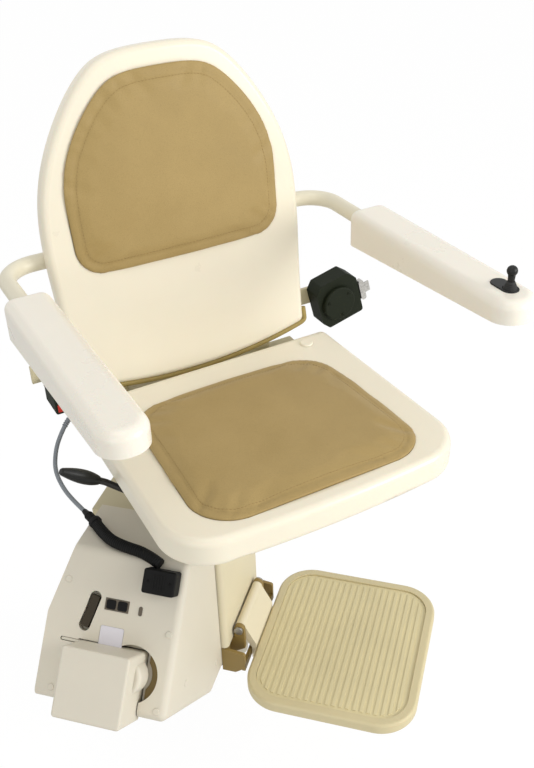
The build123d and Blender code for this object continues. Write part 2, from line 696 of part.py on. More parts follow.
def make_bumper_guides(bottom, height, uphill):
    """Bracket off the plate with the two guide rods that the bumper slides on."""
    side = UPHILL_END if uphill else DOWNHILL_END
    centre_x = -BUMPER_CENTRE_Y if uphill else BUMPER_CENTRE_Y
    place = side * Pos(centre_x, bottom + height / 2)
    back = -BUMPER_SKIRT - BUMPER_TRAVEL - 8
    plate_x = -PLATE_FRONT_Y if uphill else PLATE_FRONT_Y
    low_x, high_x = sorted((plate_x - centre_x, (BUMPER_WIDTH / 2 - 8) * (1 if uphill else -1)))
    bracket = block((low_x, high_x), (-15, 15), (back - 4, back))
    for s in (-1, 1):
        tip = BUMPER_STANDOUT - BUMPER_TRAVEL - 8
        bracket += Pos(s * GUIDE_OFFSET, 0, back) * Cylinder(GUIDE_RADIUS, tip - back, align=(Align.CENTER, Align.CENTER, Align.MIN))
    flange_low, flange_high = sorted((plate_x - centre_x, plate_x - centre_x + (3 if uphill else -3)))
    bracket += block((flange_low, flange_high), (-15, 15), (back - 28, back))
    return place * bracket


def make_bumper_springs(bottom, height, uphill):
    side = UPHILL_END if uphill else DOWNHILL_END
    centre_x = -BUMPER_CENTRE_Y if uphill else BUMPER_CENTRE_Y
    place = side * Pos(centre_x, bottom + height / 2)
    back = -BUMPER_SKIRT - BUMPER_TRAVEL - 8
    length = BUMPER_STANDOUT - 30 - back - 2.6
    coils = []
    for s in (-1, 1):
        coil = Helix(pitch=length / 7, height=length, radius=GUIDE_RADIUS + 2.2)
        wire = Plane(origin=coil @ 0, z_dir=coil % 0) * Circle(1.0)
        coils.append(place * Pos(s * GUIDE_OFFSET, 0, back + 1.3) * sweep(wire, path=coil))
    return coils


# ---------------------------------------------------------------- column and swivel base
def make_column_post():
    """Bent steel channel from the plate to the room side, closed at the top."""
    x = (SWIVEL_X - POST_WIDTH / 2, SWIVEL_X + POST_WIDTH / 2)
    y = (COVER_FRONT_Y + 5, PLATE_FRONT_Y)
    z = (COLUMN_BOTTOM_Z - 30, COLUMN_TOP_Z)
    post = block(x, y, z)
    post = fillet(post.edges().filter_by(Axis.Z).sort_by(Axis.Y)[0:2], 8)
    post -= block((x[0] + POST_SHEET, x[1] - POST_SHEET), (y[0] + POST_SHEET, 0), (z[0] - 1, z[1] - POST_SHEET))
    gusset = polygon((y[0] + 30, z[0] - 1), (PLATE_FRONT_Y - 16, z[0] - 1), (PLATE_FRONT_Y - 16, z[1] - 60))
    post -= slab_x(fillet(gusset.vertices(), 12), x[0] - 1, x[1] + 1)
    opening = RectangleRounded(GEARBOX_LENGTH + 2 * DRIVE_CLEARANCE, GEARBOX_HEIGHT + 2 * DRIVE_CLEARANCE, 14)
    return post - INCLINE * Pos(PINION_ALONG, 0, DRIVE_UP) * slab_y(opening, PLATE_FRONT_Y - 92, PLATE_FRONT_Y + 1)


def make_post_head():
    """Cast head that caps the column and carries the swivel post out over the footrest hinge."""
    rear = PLATE_FRONT_Y
    outline = polygon(
        (COLUMN_LEFT, rear), (COLUMN_LEFT, COLUMN_FRONT_Y + 20), (SWIVEL_X - 60, COLUMN_FRONT_Y),
        (SWIVEL_X + 60, COLUMN_FRONT_Y), (COLUMN_RIGHT, COLUMN_FRONT_Y + 20), (COLUMN_RIGHT, rear),
    )
    head = slab_z(outline, COLUMN_TOP_Z, COLUMN_TOP_Z + HEAD_THICK - 6)
    nose = Pos(SWIVEL_X, SWIVEL_Y) * Circle(HEAD_NOSE_RADIUS)
    tongue = Pos(SWIVEL_X, SWIVEL_Y) * Rectangle(2 * HEAD_NOSE_RADIUS, 60, align=(Align.CENTER, Align.MIN))
    head += slab_z(nose + tongue, COLUMN_TOP_Z, COLUMN_TOP_Z + HEAD_THICK)
    head = fillet(head.faces().sort_by(Axis.Z)[-1].edges().filter_by(GeomType.CIRCLE), 3)
    head -= rod_z(SWIVEL_POST_RADIUS, COLUMN_TOP_Z + 8, COLUMN_TOP_Z + HEAD_THICK + 1, SWIVEL_X, SWIVEL_Y)
    return head


def make_swivel_post():
    top = SEAT_TOP_Z + FRAME_TOP_Z - FRAME_TUBE - SWIVEL_PLATE_THICK - 2
    post = rod_z(SWIVEL_POST_RADIUS, COLUMN_TOP_Z + 8, top, SWIVEL_X, SWIVEL_Y)
    post = chamfer(post.faces().sort_by(Axis.Z)[-1].edges(), 1.5)
    return post - rod_z(SWIVEL_POST_RADIUS - 5, COLUMN_TOP_Z + 20, top - 8, SWIVEL_X, SWIVEL_Y)


def make_swivel_bushes():
    """Two flanged bushes pressed into the seat frame's socket."""
    inner = SWIVEL_POST_RADIUS + RUNNING_GAP
    lower = rod_z(inner + BUSH_WALL, SOCKET_LOW, SOCKET_LOW + 25, 0, -SWIVEL_BACK)
    lower += rod_z(inner + BUSH_WALL + 4, SOCKET_LOW - BUSH_FLANGE, SOCKET_LOW, 0, -SWIVEL_BACK)
    upper = rod_z(inner + BUSH_WALL, SWIVEL_PLATE_LOW - 25, SWIVEL_PLATE_LOW, 0, -SWIVEL_BACK)
    bore = rod_z(inner, SOCKET_LOW - 10, SWIVEL_PLATE_LOW + 10, 0, -SWIVEL_BACK)
    return [lower - bore, upper - bore]


def make_index_plate():
    """Plate with the latch holes for riding and for the two turned positions."""
    low = COLUMN_TOP_Z + HEAD_THICK
    disc = Circle(INDEX_PLATE_RADIUS) - Circle(SWIVEL_POST_RADIUS + 0.3)
    disc &= Pos(0, -HEAD_NOSE_RADIUS) * Rectangle(200, 200, align=(Align.CENTER, Align.MIN))
    disc &= Pos(HEAD_NOSE_RADIUS, 0) * Rectangle(200, 300, align=(Align.MAX, Align.CENTER))
    for turn in (-1, 0, 1):
        angle = math.radians(180 - SEAT_TURN + turn * INDEX_STEP)
        disc -= Pos(INDEX_PITCH_RADIUS * math.cos(angle), INDEX_PITCH_RADIUS * math.sin(angle)) * Circle(LATCH_RADIUS + 0.5)
    return Pos(SWIVEL_X, SWIVEL_Y) * slab_z(disc, low, low + INDEX_PLATE_THICK)


# ---------------------------------------------------------------- footrest


def make_footrest_bracket():
    """Steel bracket on the column's foot: back plate, two cheeks, stop bar and hinge lugs."""
    back = block((COLUMN_LEFT, COLUMN_RIGHT), (COVER_FRONT_Y - 5, COVER_FRONT_Y), (CHEEK_LOW_Z, CHEEK_TOP_Z))
    cheek = polygon((COVER_FRONT_Y, CHEEK_LOW_Z), (COVER_FRONT_Y, CHEEK_TOP_Z), (CHEEK_FRONT_Y, CHEEK_TOP_Z - 6),
                    (CHEEK_FRONT_Y, CHEEK_LOW_Z + 14), (CHEEK_FRONT_Y + 18, CHEEK_LOW_Z))
    cheek = fillet(cheek.vertices().sort_by(Axis.X)[0:2], 4)
    back += slab_x(cheek, COLUMN_LEFT, COLUMN_LEFT + CHEEK_THICK)
    back += slab_x(cheek, COLUMN_RIGHT - CHEEK_THICK, COLUMN_RIGHT)
    back += block((COLUMN_LEFT, COLUMN_RIGHT), (CHEEK_FRONT_Y + 0.0, CHEEK_FRONT_Y + 6), (FOOTREST_TOP_Z - 22, FOOTREST_TOP_Z - 8))
    lug = polygon((COVER_FRONT_Y - 2, CHEEK_LOW_Z + 10), (COVER_FRONT_Y - 2, CHEEK_TOP_Z),
                  (HINGE_Y + 9, CHEEK_TOP_Z), (HINGE_Y + 9, HINGE_Z), (HINGE_Y - 9, HINGE_Z), (HINGE_Y - 9, CHEEK_LOW_Z + 30))
    lug += Pos(HINGE_Y, HINGE_Z) * Circle(9)
    lug -= Pos(HINGE_Y, HINGE_Z) * Circle(HINGE_PIN_RADIUS)
    for s in (-1, 1):
        inner = SWIVEL_X + s * (HINGE_LENGTH / 2 + LUG_GAP)
        outer = inner + s * LUG_WIDTH
        back += slab_x(lug, min(inner, outer), max(inner, outer))
    return back


def make_hinge_pin():
    half = HINGE_LENGTH / 2 + LUG_GAP + LUG_WIDTH
    pin = rod_x(HINGE_PIN_RADIUS, SWIVEL_X - half, SWIVEL_X + half, HINGE_Y, HINGE_Z)
    for s in (-1, 1):
        low = SWIVEL_X + s * half
        head = rod_x(7.5, min(low, low + s * 4), max(low, low + s * 4), HINGE_Y, HINGE_Z)
        pin += head
    return pin


def make_hinge_leaf():
    """Cast leaf: knuckle on the pin, sloping web, and flange under the footrest."""
    under = FOOTREST_TOP_Z - FOOTREST_THICK
    reach = FOOTREST_BACK_Y - 62
    profile = polygon((HINGE_Y - 2, HINGE_Z + 8), (HINGE_Y - 9, HINGE_Z), (FOOTREST_BACK_Y - 1, FOOTREST_TOP_Z + 6),
                      (FOOTREST_BACK_Y - 1, under), (reach, under), (reach, under - 6),
                      (FOOTREST_BACK_Y + 7, under - 6), (FOOTREST_BACK_Y + 7, FOOTREST_TOP_Z - 4),
                      (HINGE_Y + 4, HINGE_Z - 8))
    profile += Pos(HINGE_Y, HINGE_Z) * Circle(KNUCKLE_RADIUS)
    profile -= Pos(HINGE_Y, HINGE_Z) * Circle(HINGE_PIN_RADIUS + RUNNING_GAP)
    return slab_x(profile, SWIVEL_X - HINGE_LENGTH / 2, SWIVEL_X + HINGE_LENGTH / 2)


def footrest_outline(inset=0.0):
    wide = FOOTREST_WIDTH - 2 * inset
    deep = FOOTREST_DEPTH - 2 * inset
    face = Rectangle(wide, deep, align=(Align.CENTER, Align.MAX))
    face = fillet(face.vertices(), FOOTREST_CORNER - inset)
    return Pos(SWIVEL_X, FOOTREST_BACK_Y - inset - 1.5) * face


def make_footrest_shell():
    low = FOOTREST_TOP_Z - FOOTREST_THICK
    shell = slab_z(footrest_outline(), low, FOOTREST_TOP_Z)
    shell = fillet(shell.faces().sort_by(Axis.Z)[-1].edges(), 5)
    shell = fillet(shell.faces().sort_by(Axis.Z)[0].edges(), 5)
    shell -= slab_z(footrest_outline(MAT_MARGIN), FOOTREST_TOP_Z - 5, FOOTREST_TOP_Z + 1)
    hollow = slab_z(footrest_outline(10), low - 1, low + 9)
    hollow -= block((SWIVEL_X - HINGE_LENGTH / 2 - 6, SWIVEL_X + HINGE_LENGTH / 2 + 6),
                    (FOOTREST_BACK_Y - 70, FOOTREST_BACK_Y + 5), (low - 2, low + 12))
    for i in range(-2, 3):
        hollow -= block((SWIVEL_X + 52 * i - 1.5, SWIVEL_X + 52 * i + 1.5),
                        (FOOTREST_BACK_Y - FOOTREST_DEPTH, FOOTREST_BACK_Y), (low + 1, low + 12))
    return shell - hollow


def make_footrest_mat():
    """Ribbed tread mat laid in the footrest's tray."""
    floor = FOOTREST_TOP_Z - 5
    outline = footrest_outline(MAT_MARGIN + PAD_CLEARANCE)
    mat = slab_z(outline, floor, floor + 2)
    rib_field = slab_z(footrest_outline(MAT_MARGIN + 7), floor, floor + 3.6)
    deep = FOOTREST_DEPTH - 2 * MAT_MARGIN
    pitch = (deep - 14) / MAT_RIBS
    ribs = None
    for i in range(MAT_RIBS):
        y = FOOTREST_BACK_Y - MAT_MARGIN - 9 - pitch * (i + 0.5)
        bar = block((SWIVEL_X - 200, SWIVEL_X + 200), (y - pitch * 0.25, y + pitch * 0.25), (floor + 1, floor + 3.2))
        ribs = bar if ribs is None else ribs + bar
    return mat + (ribs & rib_field)


# ---------------------------------------------------------------- seat frame
def make_seat_frame():
    """Welded frame: swivel socket and plate, two rails, cross tubes, hinge lugs and uprights."""
    rail_low = FRAME_TOP_Z - FRAME_TUBE
    half = FRAME_TUBE / 2
    plate_low = SWIVEL_PLATE_LOW
    socket_bore = SWIVEL_POST_RADIUS + RUNNING_GAP + BUSH_WALL
    frame = rod_z(SWIVEL_PLATE_RADIUS, plate_low, rail_low, 0, -SWIVEL_BACK)
    frame += rod_z(socket_bore + SOCKET_WALL, SOCKET_LOW, plate_low, 0, -SWIVEL_BACK)
    frame -= rod_z(socket_bore, SOCKET_LOW - 1, plate_low, 0, -SWIVEL_BACK)
    hinge_y = SEAT_REAR_Y - SEAT_FOLD_RADIUS
    hinge_z = -SEAT_FOLD_RADIUS
    rail_end = BACK_FRONT_Y + BACK_THICK + 8
    for s in (-1, 1):
        x = s * RAIL_HALF_SPACING
        frame += block((x - half, x + half), (FRAME_FRONT_Y, rail_end), (rail_low, FRAME_TOP_Z))
        lug = polygon((hinge_y - 12, FRAME_TOP_Z - 1), (hinge_y + 12, FRAME_TOP_Z - 1), (hinge_y + 12, hinge_z),
                      (hinge_y - 12, hinge_z)) + Pos(hinge_y, hinge_z) * Circle(12)
        lug -= Pos(hinge_y, hinge_z) * Circle(HINGE_PIN_RADIUS + RUNNING_GAP)
        frame += slab_x(lug, x - 10, x + 10)
    for y in (-115, 5):
        frame += block((-RAIL_HALF_SPACING, RAIL_HALF_SPACING), (y, y + FRAME_TUBE), (rail_low, FRAME_TOP_Z))
    frame -= rod_z(LATCH_RADIUS + RUNNING_GAP, plate_low - 1, FRAME_TOP_Z + 1, -INDEX_PITCH_RADIUS, -SWIVEL_BACK)
    for s in (-1, 1):
        ear = block((LEVER_PIVOT_X - 9, LEVER_PIVOT_X + 9),
                    (-SWIVEL_BACK + s * 12 - 3, -SWIVEL_BACK + s * 12 + 3), (LEVER_Z - 9, plate_low))
        frame += ear - rod_y(3, -SWIVEL_BACK - 20, -SWIVEL_BACK + 20, LEVER_PIVOT_X, LEVER_Z)
    return frame


def back_to_seat(shape):
    """Move a shape drawn on the backrest's plane into the seat's frame."""
    return Pos(0, BACK_FRONT_Y, 0) * Rot(90 - RECLINE, 0, 0) * shape


def make_back_frame():
    """Uprights behind the backrest with the arm sockets and the belt bar."""
    half = FRAME_TUBE / 2
    rear = -BACK_THICK - FRAME_TUBE
    foot = FRAME_TOP_Z - FRAME_TUBE
    frame = None
    for s in (-1, 1):
        x = s * RAIL_HALF_SPACING
        upright = block((x - half, x + half), (foot + 4, 255), (rear, -BACK_THICK - 0.3))
        upright = back_to_seat(upright)
        upright -= block((x - 50, x + 50), (0, 400), (-300, foot))
        socket_in = RAIL_HALF_SPACING + half - 8
        socket_out = BACK_HALF_LOW - 12
        low, high = sorted((s * socket_in, s * socket_out))
        upright += rod_x(ARM_BAR_RADIUS + RUNNING_GAP + ARM_SOCKET_WALL, low, high, ARM_PIVOT_Y, ARM_PIVOT_Z)
        bore_in, bore_out = sorted((s * (RAIL_HALF_SPACING + half), s * (socket_out + 1)))
        upright -= rod_x(ARM_BAR_RADIUS + RUNNING_GAP, bore_in, bore_out, ARM_PIVOT_Y, ARM_PIVOT_Z)
        frame = upright if frame is None else frame + upright
    frame += back_to_seat(block((-RAIL_HALF_SPACING, RAIL_HALF_SPACING), (225, 250), (rear, -BACK_THICK - 0.3)))
    frame += back_to_seat(block((-RAIL_HALF_SPACING, RAIL_HALF_SPACING), (0, 25), (rear, -BACK_THICK - 0.3)))
    frame += block((-BELT_BAR_LEFT, BELT_BAR_RIGHT), (BELT_BAR_Y, BELT_BAR_Y + 6), (5, 35))
    lower_y = BACK_FRONT_Y + 3
    frame += block((-LOWER_BAR_HALF, LOWER_BAR_HALF), (lower_y, lower_y + FRAME_TUBE), (-59, -34))
    rail_end = BACK_FRONT_Y + BACK_THICK + 8
    return frame - block((-SEAT_HALF_REAR, SEAT_HALF_REAR), (0, rail_end), (foot - 20, FRAME_TOP_Z))


# ---------------------------------------------------------------- swivel latch


def make_swivel_lever():
    y = -SWIVEL_BACK
    points = [(-INDEX_PITCH_RADIUS - LATCH_RADIUS - 1.5, y, LEVER_Z), (LEVER_ELBOW_X, y, LEVER_Z),
              (LEVER_KNEE[0], y, LEVER_KNEE[1]), (LEVER_TIP[0], y, LEVER_TIP[1])]
    rod = tube_along(points, LEVER_ROD_RADIUS, [26, 40])
    hub = rod_y(9, y - 8.5, y + 8.5, LEVER_PIVOT_X, LEVER_Z)
    hub -= block((LEVER_PIVOT_X - 20, LEVER_PIVOT_X + 20), (y - 20, y + 20), (LEVER_Z + 7, LEVER_Z + 20))
    return (rod + hub) - rod_y(3 + RUNNING_GAP, y - 20, y + 20, LEVER_PIVOT_X, LEVER_Z)


def make_lever_grip():
    """Spindle-shaped grip pushed over the lever's end."""
    y = -SWIVEL_BACK
    run = Vector(LEVER_TIP[0] - LEVER_KNEE[0], 0, LEVER_TIP[1] - LEVER_KNEE[1])
    start = Vector(LEVER_KNEE[0], y, LEVER_KNEE[1]) + run.normalized() * 12
    length = run.length - 12 + 4
    profile = make_face(Polyline((0, 0), (6.5, 0)) + Spline((6.5, 0), (10.5, length * 0.35), (9, length * 0.7), (5.5, length - 2))
                        + Polyline((5.5, length - 2), (4, length), (0, length), (0, 0)))
    grip = revolve(Plane.XZ * profile, Axis.Z)
    place = Plane(origin=start, x_dir=(0, 1, 0), z_dir=run.normalized())
    grip = place.location * grip
    rod = Plane(origin=start - run.normalized() * 5, x_dir=(0, 1, 0), z_dir=run.normalized()).location * Cylinder(
        LEVER_ROD_RADIUS, run.length - 12 + 5, align=(Align.CENTER, Align.CENTER, Align.MIN))
    return grip - rod


def make_latch_pin():
    tip = INDEX_TOP_Z + LATCH_TIP_GAP - SEAT_TOP_Z
    pin = rod_z(LATCH_RADIUS, tip, FRAME_TOP_Z - FRAME_TUBE + 6, -INDEX_PITCH_RADIUS, -SWIVEL_BACK)
    pin = chamfer(pin.faces().sort_by(Axis.Z)[0].edges(), 1.2)
    return pin + rod_z(12, LATCH_COLLAR_Z, LATCH_COLLAR_Z + 4, -INDEX_PITCH_RADIUS, -SWIVEL_BACK)


# ---------------------------------------------------------------- seat pan
def seat_outline(inset=0.0, rear=SEAT_REAR_Y):
    half_front = SEAT_HALF_FRONT - inset
    half_rear = SEAT_HALF_REAR - inset
    corner = SEAT_CORNER_Y + inset
    nose = ThreePointArc((-half_front, corner), (0, SEAT_NOSE_Y + inset), (half_front, corner))
    sides = Polyline((half_front, corner), (half_rear, rear), (-half_rear, rear), (-half_front, corner))
    face = make_face(nose + sides)
    return fillet(face.vertices().sort_by(Axis.Y)[0:2], SEAT_CORNER_RADIUS - inset)


def seat_pad_outline(grow=0.0):
    rear, front = PAD_REAR_Y + grow, PAD_FRONT_Y - grow
    face = polygon((-PAD_REAR_HALF - grow, rear), (PAD_REAR_HALF + grow, rear),
                   (PAD_FRONT_HALF + grow, front), (-PAD_FRONT_HALF - grow, front))
    return fillet(face.vertices(), PAD_CORNER + grow)


def make_seat_shell():
    hinge_y = SEAT_REAR_Y - SEAT_FOLD_RADIUS
    profile = Pos(hinge_y, -SEAT_THICK / 2) * Circle(SEAT_FOLD_RADIUS)
    front = SEAT_NOSE_Y - 10
    profile += polygon((hinge_y, 0), (hinge_y, -SEAT_THICK), (front, -SEAT_THICK), (front, 0))
    body = slab_z(seat_outline(), -SEAT_THICK, 0) & slab_x(profile, -SEAT_HALF_FRONT, SEAT_HALF_FRONT)
    walls = [f for f in body.faces() if abs(f.normal_at(f.center()).Z) < 0.01 and f.center().Y < hinge_y - 5]
    edges = [e for f in walls for e in f.edges() if abs((e % 0.5).Z) < 0.9 or e.center().Y > hinge_y]
    unique = []
    for e in edges:
        if not any((e.center() - u.center()).length < 0.01 for u in unique):
            unique.append(e)
    body = fillet(unique, SEAT_EDGE_ROUND)
    body -= slab_z(seat_pad_outline(PAD_CLEARANCE), -PAD_RECESS, 5)
    rear_wall = hinge_y - SEAT_FOLD_RADIUS - 4
    cavity = slab_z(seat_outline(SEAT_SKIN + 3, rear_wall), -SEAT_THICK - 1, -PAD_RECESS - SEAT_SKIN)
    body -= cavity
    for s in (-1, 1):
        x = s * RAIL_HALF_SPACING
        slot = block((x - 13, x + 13), (hinge_y - 16, SEAT_REAR_Y + 5), (-SEAT_THICK - 5, -SEAT_FOLD_RADIUS + 15.5))
        body -= slot
        body -= rod_x(HINGE_PIN_RADIUS, x - 32, x + 32, hinge_y, -SEAT_FOLD_RADIUS)
    return body


def make_seat_base():
    """Base board that closes the seat's underside."""
    hinge_y = SEAT_REAR_Y - SEAT_FOLD_RADIUS
    rear_wall = hinge_y - SEAT_FOLD_RADIUS - 4
    return slab_z(seat_outline(SEAT_SKIN + 3 + PAD_CLEARANCE, rear_wall - PAD_CLEARANCE), -SEAT_THICK, -SEAT_THICK + 6)


def make_seat_pins():
    hinge_y = SEAT_REAR_Y - SEAT_FOLD_RADIUS
    return [rod_x(HINGE_PIN_RADIUS, s * RAIL_HALF_SPACING - 32, s * RAIL_HALF_SPACING + 32, hinge_y, -SEAT_FOLD_RADIUS)
            for s in (-1, 1)]


def make_seat_caps():
    caps = []
    for s in (-1, 1):
        cap = rod_z(11, 0, 3, s * 170, 60)
        caps.append(fillet(cap.faces().sort_by(Axis.Z)[-1].edges(), 2.2))
    return caps


def make_seat_stops():
    """Rubber stops on the rails' front ends, on which the seat rests."""
    stops = []
    for s in (-1, 1):
        for y in STOP_STATIONS:
            stops.append(rod_z(11, FRAME_TOP_Z, -SEAT_THICK, s * RAIL_HALF_SPACING, y))
    return stops


def make_seat_pad():
    middle = (PAD_REAR_Y + PAD_FRONT_Y) / 2
    return cushion(seat_pad_outline(), -PAD_RECESS, 2, PAD_CROWN, (0, middle))


# ---------------------------------------------------------------- backrest
def arch(half_low, half_high, low, high, top):
    """Right edge of the backrest or its pad, from the low corner to the middle of the top."""
    return Spline((half_low, low), (half_high, high), (half_high * 0.62, high + (top - high) * 0.78), (0, top),
                  tangents=[(0, 1), (-1, 0)])


def back_outline(inset=0.0):
    half_low = BACK_HALF_LOW - inset
    right = arch(half_low, BACK_HALF_HIGH - inset, BACK_BOTTOM_SIDE + inset, BACK_HIGH - inset * 0.5, BACK_TOP - inset)
    left = mirror(right, Plane.YZ)
    bottom = ThreePointArc((-half_low, BACK_BOTTOM_SIDE + inset), (0, BACK_BOTTOM_MID + inset), (half_low, BACK_BOTTOM_SIDE + inset))
    face = make_face(right + left + bottom)
    return fillet(face.vertices().sort_by(Axis.Y)[0:2], 12)


def back_pad_outline(grow=0.0):
    half = BACK_PAD_HALF_LOW + grow
    low = BACK_PAD_BOTTOM - grow
    right = arch(half, BACK_PAD_HALF_HIGH + grow, low, BACK_PAD_HIGH, BACK_PAD_TOP + grow)
    left = mirror(right, Plane.YZ)
    bottom = Line((-half, low), (half, low))
    face = make_face(right + left + bottom)
    return fillet(face.vertices().sort_by(Axis.Y)[0:2], BACK_PAD_CORNER + grow)


def make_back_shell():
    body = slab_z(back_outline(), -BACK_THICK, 0)
    body = fillet(body.faces().sort_by(Axis.Z)[-1].edges(), BACK_EDGE_ROUND)
    body -= slab_z(back_pad_outline(PAD_CLEARANCE), -PAD_RECESS, 5)
    body -= slab_z(back_outline(7), -BACK_THICK - 1, -PAD_RECESS - SEAT_SKIN)
    return body


def make_back_cover():
    """Rear panel of the backrest, let into the shell."""
    cover = slab_z(back_outline(7 + PAD_CLEARANCE), -BACK_THICK, -BACK_THICK + 4)
    return cover


def make_back_pad():
    middle = (BACK_PAD_BOTTOM + BACK_PAD_TOP) / 2
    return cushion(back_pad_outline(), -PAD_RECESS, 2, PAD_CROWN, (0, middle))


# ---------------------------------------------------------------- arms
def make_arm_bar(side):
    """Bent tube: it turns in the back frame's socket, then runs forward under the pad."""
    inner = side * (RAIL_HALF_SPACING + FRAME_TUBE / 2 + 1)
    points = [(inner, ARM_PIVOT_Y, ARM_PIVOT_Z), (side * ARM_X, ARM_PIVOT_Y, ARM_PIVOT_Z),
              (side * ARM_X, ARM_PAD_TIP_Y + ARM_BAR_SHORT, ARM_PIVOT_Z)]
    bar = tube_along(points, ARM_BAR_RADIUS, [ARM_BEND])
    collar_in = side * (BACK_HALF_LOW - 12 + 0.5)
    low, high = sorted((collar_in, collar_in + side * 6))
    return bar + rod_x(ARM_BAR_RADIUS + 4, low, high, ARM_PIVOT_Y, ARM_PIVOT_Z)


def make_arm_pad(side):
    """Inverted-U moulding over the bar, shallower towards its full round front end."""
    half = ARM_PAD_WIDTH / 2
    length = ARM_PAD_REAR_Y - ARM_PAD_TIP_Y
    low = ARM_PAD_TOP_Z - ARM_PAD_DEEP_REAR
    face = Rectangle(ARM_PAD_WIDTH, length, align=(Align.CENTER, Align.MIN))
    face = fillet(face.vertices().sort_by(Axis.Y)[0:2], half - 0.5)
    face = fillet(face.vertices().sort_by(Axis.Y)[-2:], 16)
    body = slab_z(face, low, ARM_PAD_TOP_Z)
    body = fillet(body.faces().sort_by(Axis.Z)[-1].edges(), ARM_PAD_ROUND)
    hollow = slab_z(offset(face, -5), low - 1, ARM_PAD_TOP_Z - 6)
    for y in (30, length - 110, length - 25):
        hollow -= block((-half, half), (y, y + 8), (ARM_PIVOT_Z - 4, ARM_PAD_TOP_Z))
    body -= hollow
    rise = ARM_PAD_DEEP_REAR - ARM_PAD_DEEP_TIP
    body -= slab_x(polygon((-1, low - 1), (length, low - 1), (length, low), (-1, low + rise)), -half, half)
    body = Pos(side * ARM_X, ARM_PAD_TIP_Y, 0) * body
    bar_front = ARM_PAD_TIP_Y + ARM_BAR_SHORT
    return body - rod_y(ARM_BAR_RADIUS, bar_front, ARM_PIVOT_Y, side * ARM_X, ARM_PIVOT_Z)


def bezel_blank(grow, low, high):
    """Long oval around the stick, reaching back along the pad."""
    middle = JOYSTICK_Y + (BEZEL_LENGTH - BEZEL_WIDTH) / 2
    oval = SlotOverall(BEZEL_LENGTH + 2 * grow, BEZEL_WIDTH + 2 * grow, rotation=90)
    return slab_z(Pos(JOYSTICK_X, middle) * oval, low, high)


def cut_joystick_well(pad):
    return pad - bezel_blank(0.3, ARM_PAD_TOP_Z - 12, ARM_PAD_TOP_Z + 5)


def make_joystick_bezel():
    """Raised oval bezel in the arm pad with the dished opening that the stick moves in."""
    top = ARM_PAD_TOP_Z + 1.6
    bezel = bezel_blank(0, ARM_PAD_TOP_Z - 12, top)
    bezel = fillet(bezel.faces().sort_by(Axis.Z)[-1].edges(), 1.2)
    bezel -= Pos(JOYSTICK_X, JOYSTICK_Y, top + 0.4) * Cone(6.5, 11, 8, align=(Align.CENTER, Align.CENTER, Align.MAX))
    return bezel - rod_z(6.5, ARM_PAD_TOP_Z - 10.5, top + 1, JOYSTICK_X, JOYSTICK_Y)


def make_joystick():
    """Tapered stick on its ball, with a rounded knob."""
    ball_z = ARM_PAD_TOP_Z - 5
    stick = Pos(JOYSTICK_X, JOYSTICK_Y, ball_z) * Sphere(5)
    stick += Pos(JOYSTICK_X, JOYSTICK_Y, ball_z) * Cone(3.2, 5.4, 30, align=(Align.CENTER, Align.CENTER, Align.MIN))
    knob = Pos(JOYSTICK_X, JOYSTICK_Y, ball_z + 32) * Sphere(7.4)
    return stick + knob


# ---------------------------------------------------------------- belt


def retractor_place(shape):
    """Move a shape from the reel's own frame (x to its mouth, z up) to its tilted place on the belt bar."""
    return Pos(RETRACTOR_X, BELT_BAR_Y, RETRACTOR_Z) * Rot(0, -RETRACTOR_TILT, 0) * shape


def make_belt_retractor():
    """Inertia-reel housing on the belt bar, with its drum boss and its mouth on the outer side."""
    w, h = RETRACTOR_WIDTH / 2, RETRACTOR_HEIGHT / 2
    face = polygon((-w, -h + 14), (-w + 11, -h), (w, -h), (w, h - 18), (w - 16, h), (-w + 12, h), (-w, h - 14))
    body = slab_y(fillet(face.vertices(), 5), -RETRACTOR_DEEP + 8, 0)
    drum = slab_y(Pos(-4, -2) * Circle(31), -RETRACTOR_DEEP, -RETRACTOR_DEEP + 9)
    body += fillet(drum.faces().sort_by(Axis.Y)[0].edges(), 3)
    mouth = (MOUTH_UP - MOUTH_HEIGHT / 2, MOUTH_UP + MOUTH_HEIGHT / 2)
    body -= block((w - 14, w + 5), (-RETRACTOR_DEEP + 18, -12), mouth)
    return retractor_place(body)


def make_belt_webbing():
    y = -RETRACTOR_DEEP / 2 + 3
    high = MOUTH_HEIGHT / 2 - 2
    reach = RETRACTOR_WIDTH / 2
    return retractor_place(block((reach - 13.5, reach + WEBBING_OUT), (y - WEBBING_THICK / 2, y + WEBBING_THICK / 2),
                                 (MOUTH_UP - high, MOUTH_UP + high)))


def make_belt_tongue():
    """Steel tongue with its moulded grip, parked on the webbing's end."""
    y = -RETRACTOR_DEEP / 2 + 3
    low = RETRACTOR_WIDTH / 2 + WEBBING_OUT
    grip = block((low, low + 10), (y - 5, y + 5), (MOUTH_UP - 20, MOUTH_UP + 20))
    grip = fillet(grip.edges().filter_by(Axis.Y), 4)
    blade = block((low + 8, low + 22), (y - 1.2, y + 1.2), (MOUTH_UP - 10, MOUTH_UP + 10))
    return retractor_place(grip + blade)


def make_belt_buckle():
    """Buckle housing on a stiff stalk from the belt bar, with the tongue slot beside its button well."""
    front, rear = BUCKLE_FRONT_Y, BUCKLE_FRONT_Y + BUCKLE_LENGTH
    body = block((BUCKLE_X - 9, BUCKLE_X + 9), (front, rear), (BUCKLE_Z - 15, BUCKLE_Z + 15))
    body = fillet(body.edges(), 3.5)
    well = block((BUCKLE_X - 6, BUCKLE_X + 6), (front - 1, front + 12), (BUCKLE_Z - 11, BUCKLE_Z + 3))
    slot = block((BUCKLE_X - 2, BUCKLE_X + 2), (front - 1, front + 32), (BUCKLE_Z + 5, BUCKLE_Z + 11))
    stalk = block((BUCKLE_X - 3, BUCKLE_X + 3), (rear - 1, BELT_BAR_Y), (BUCKLE_Z - 6, BUCKLE_Z + 12))
    return body - well - slot + stalk


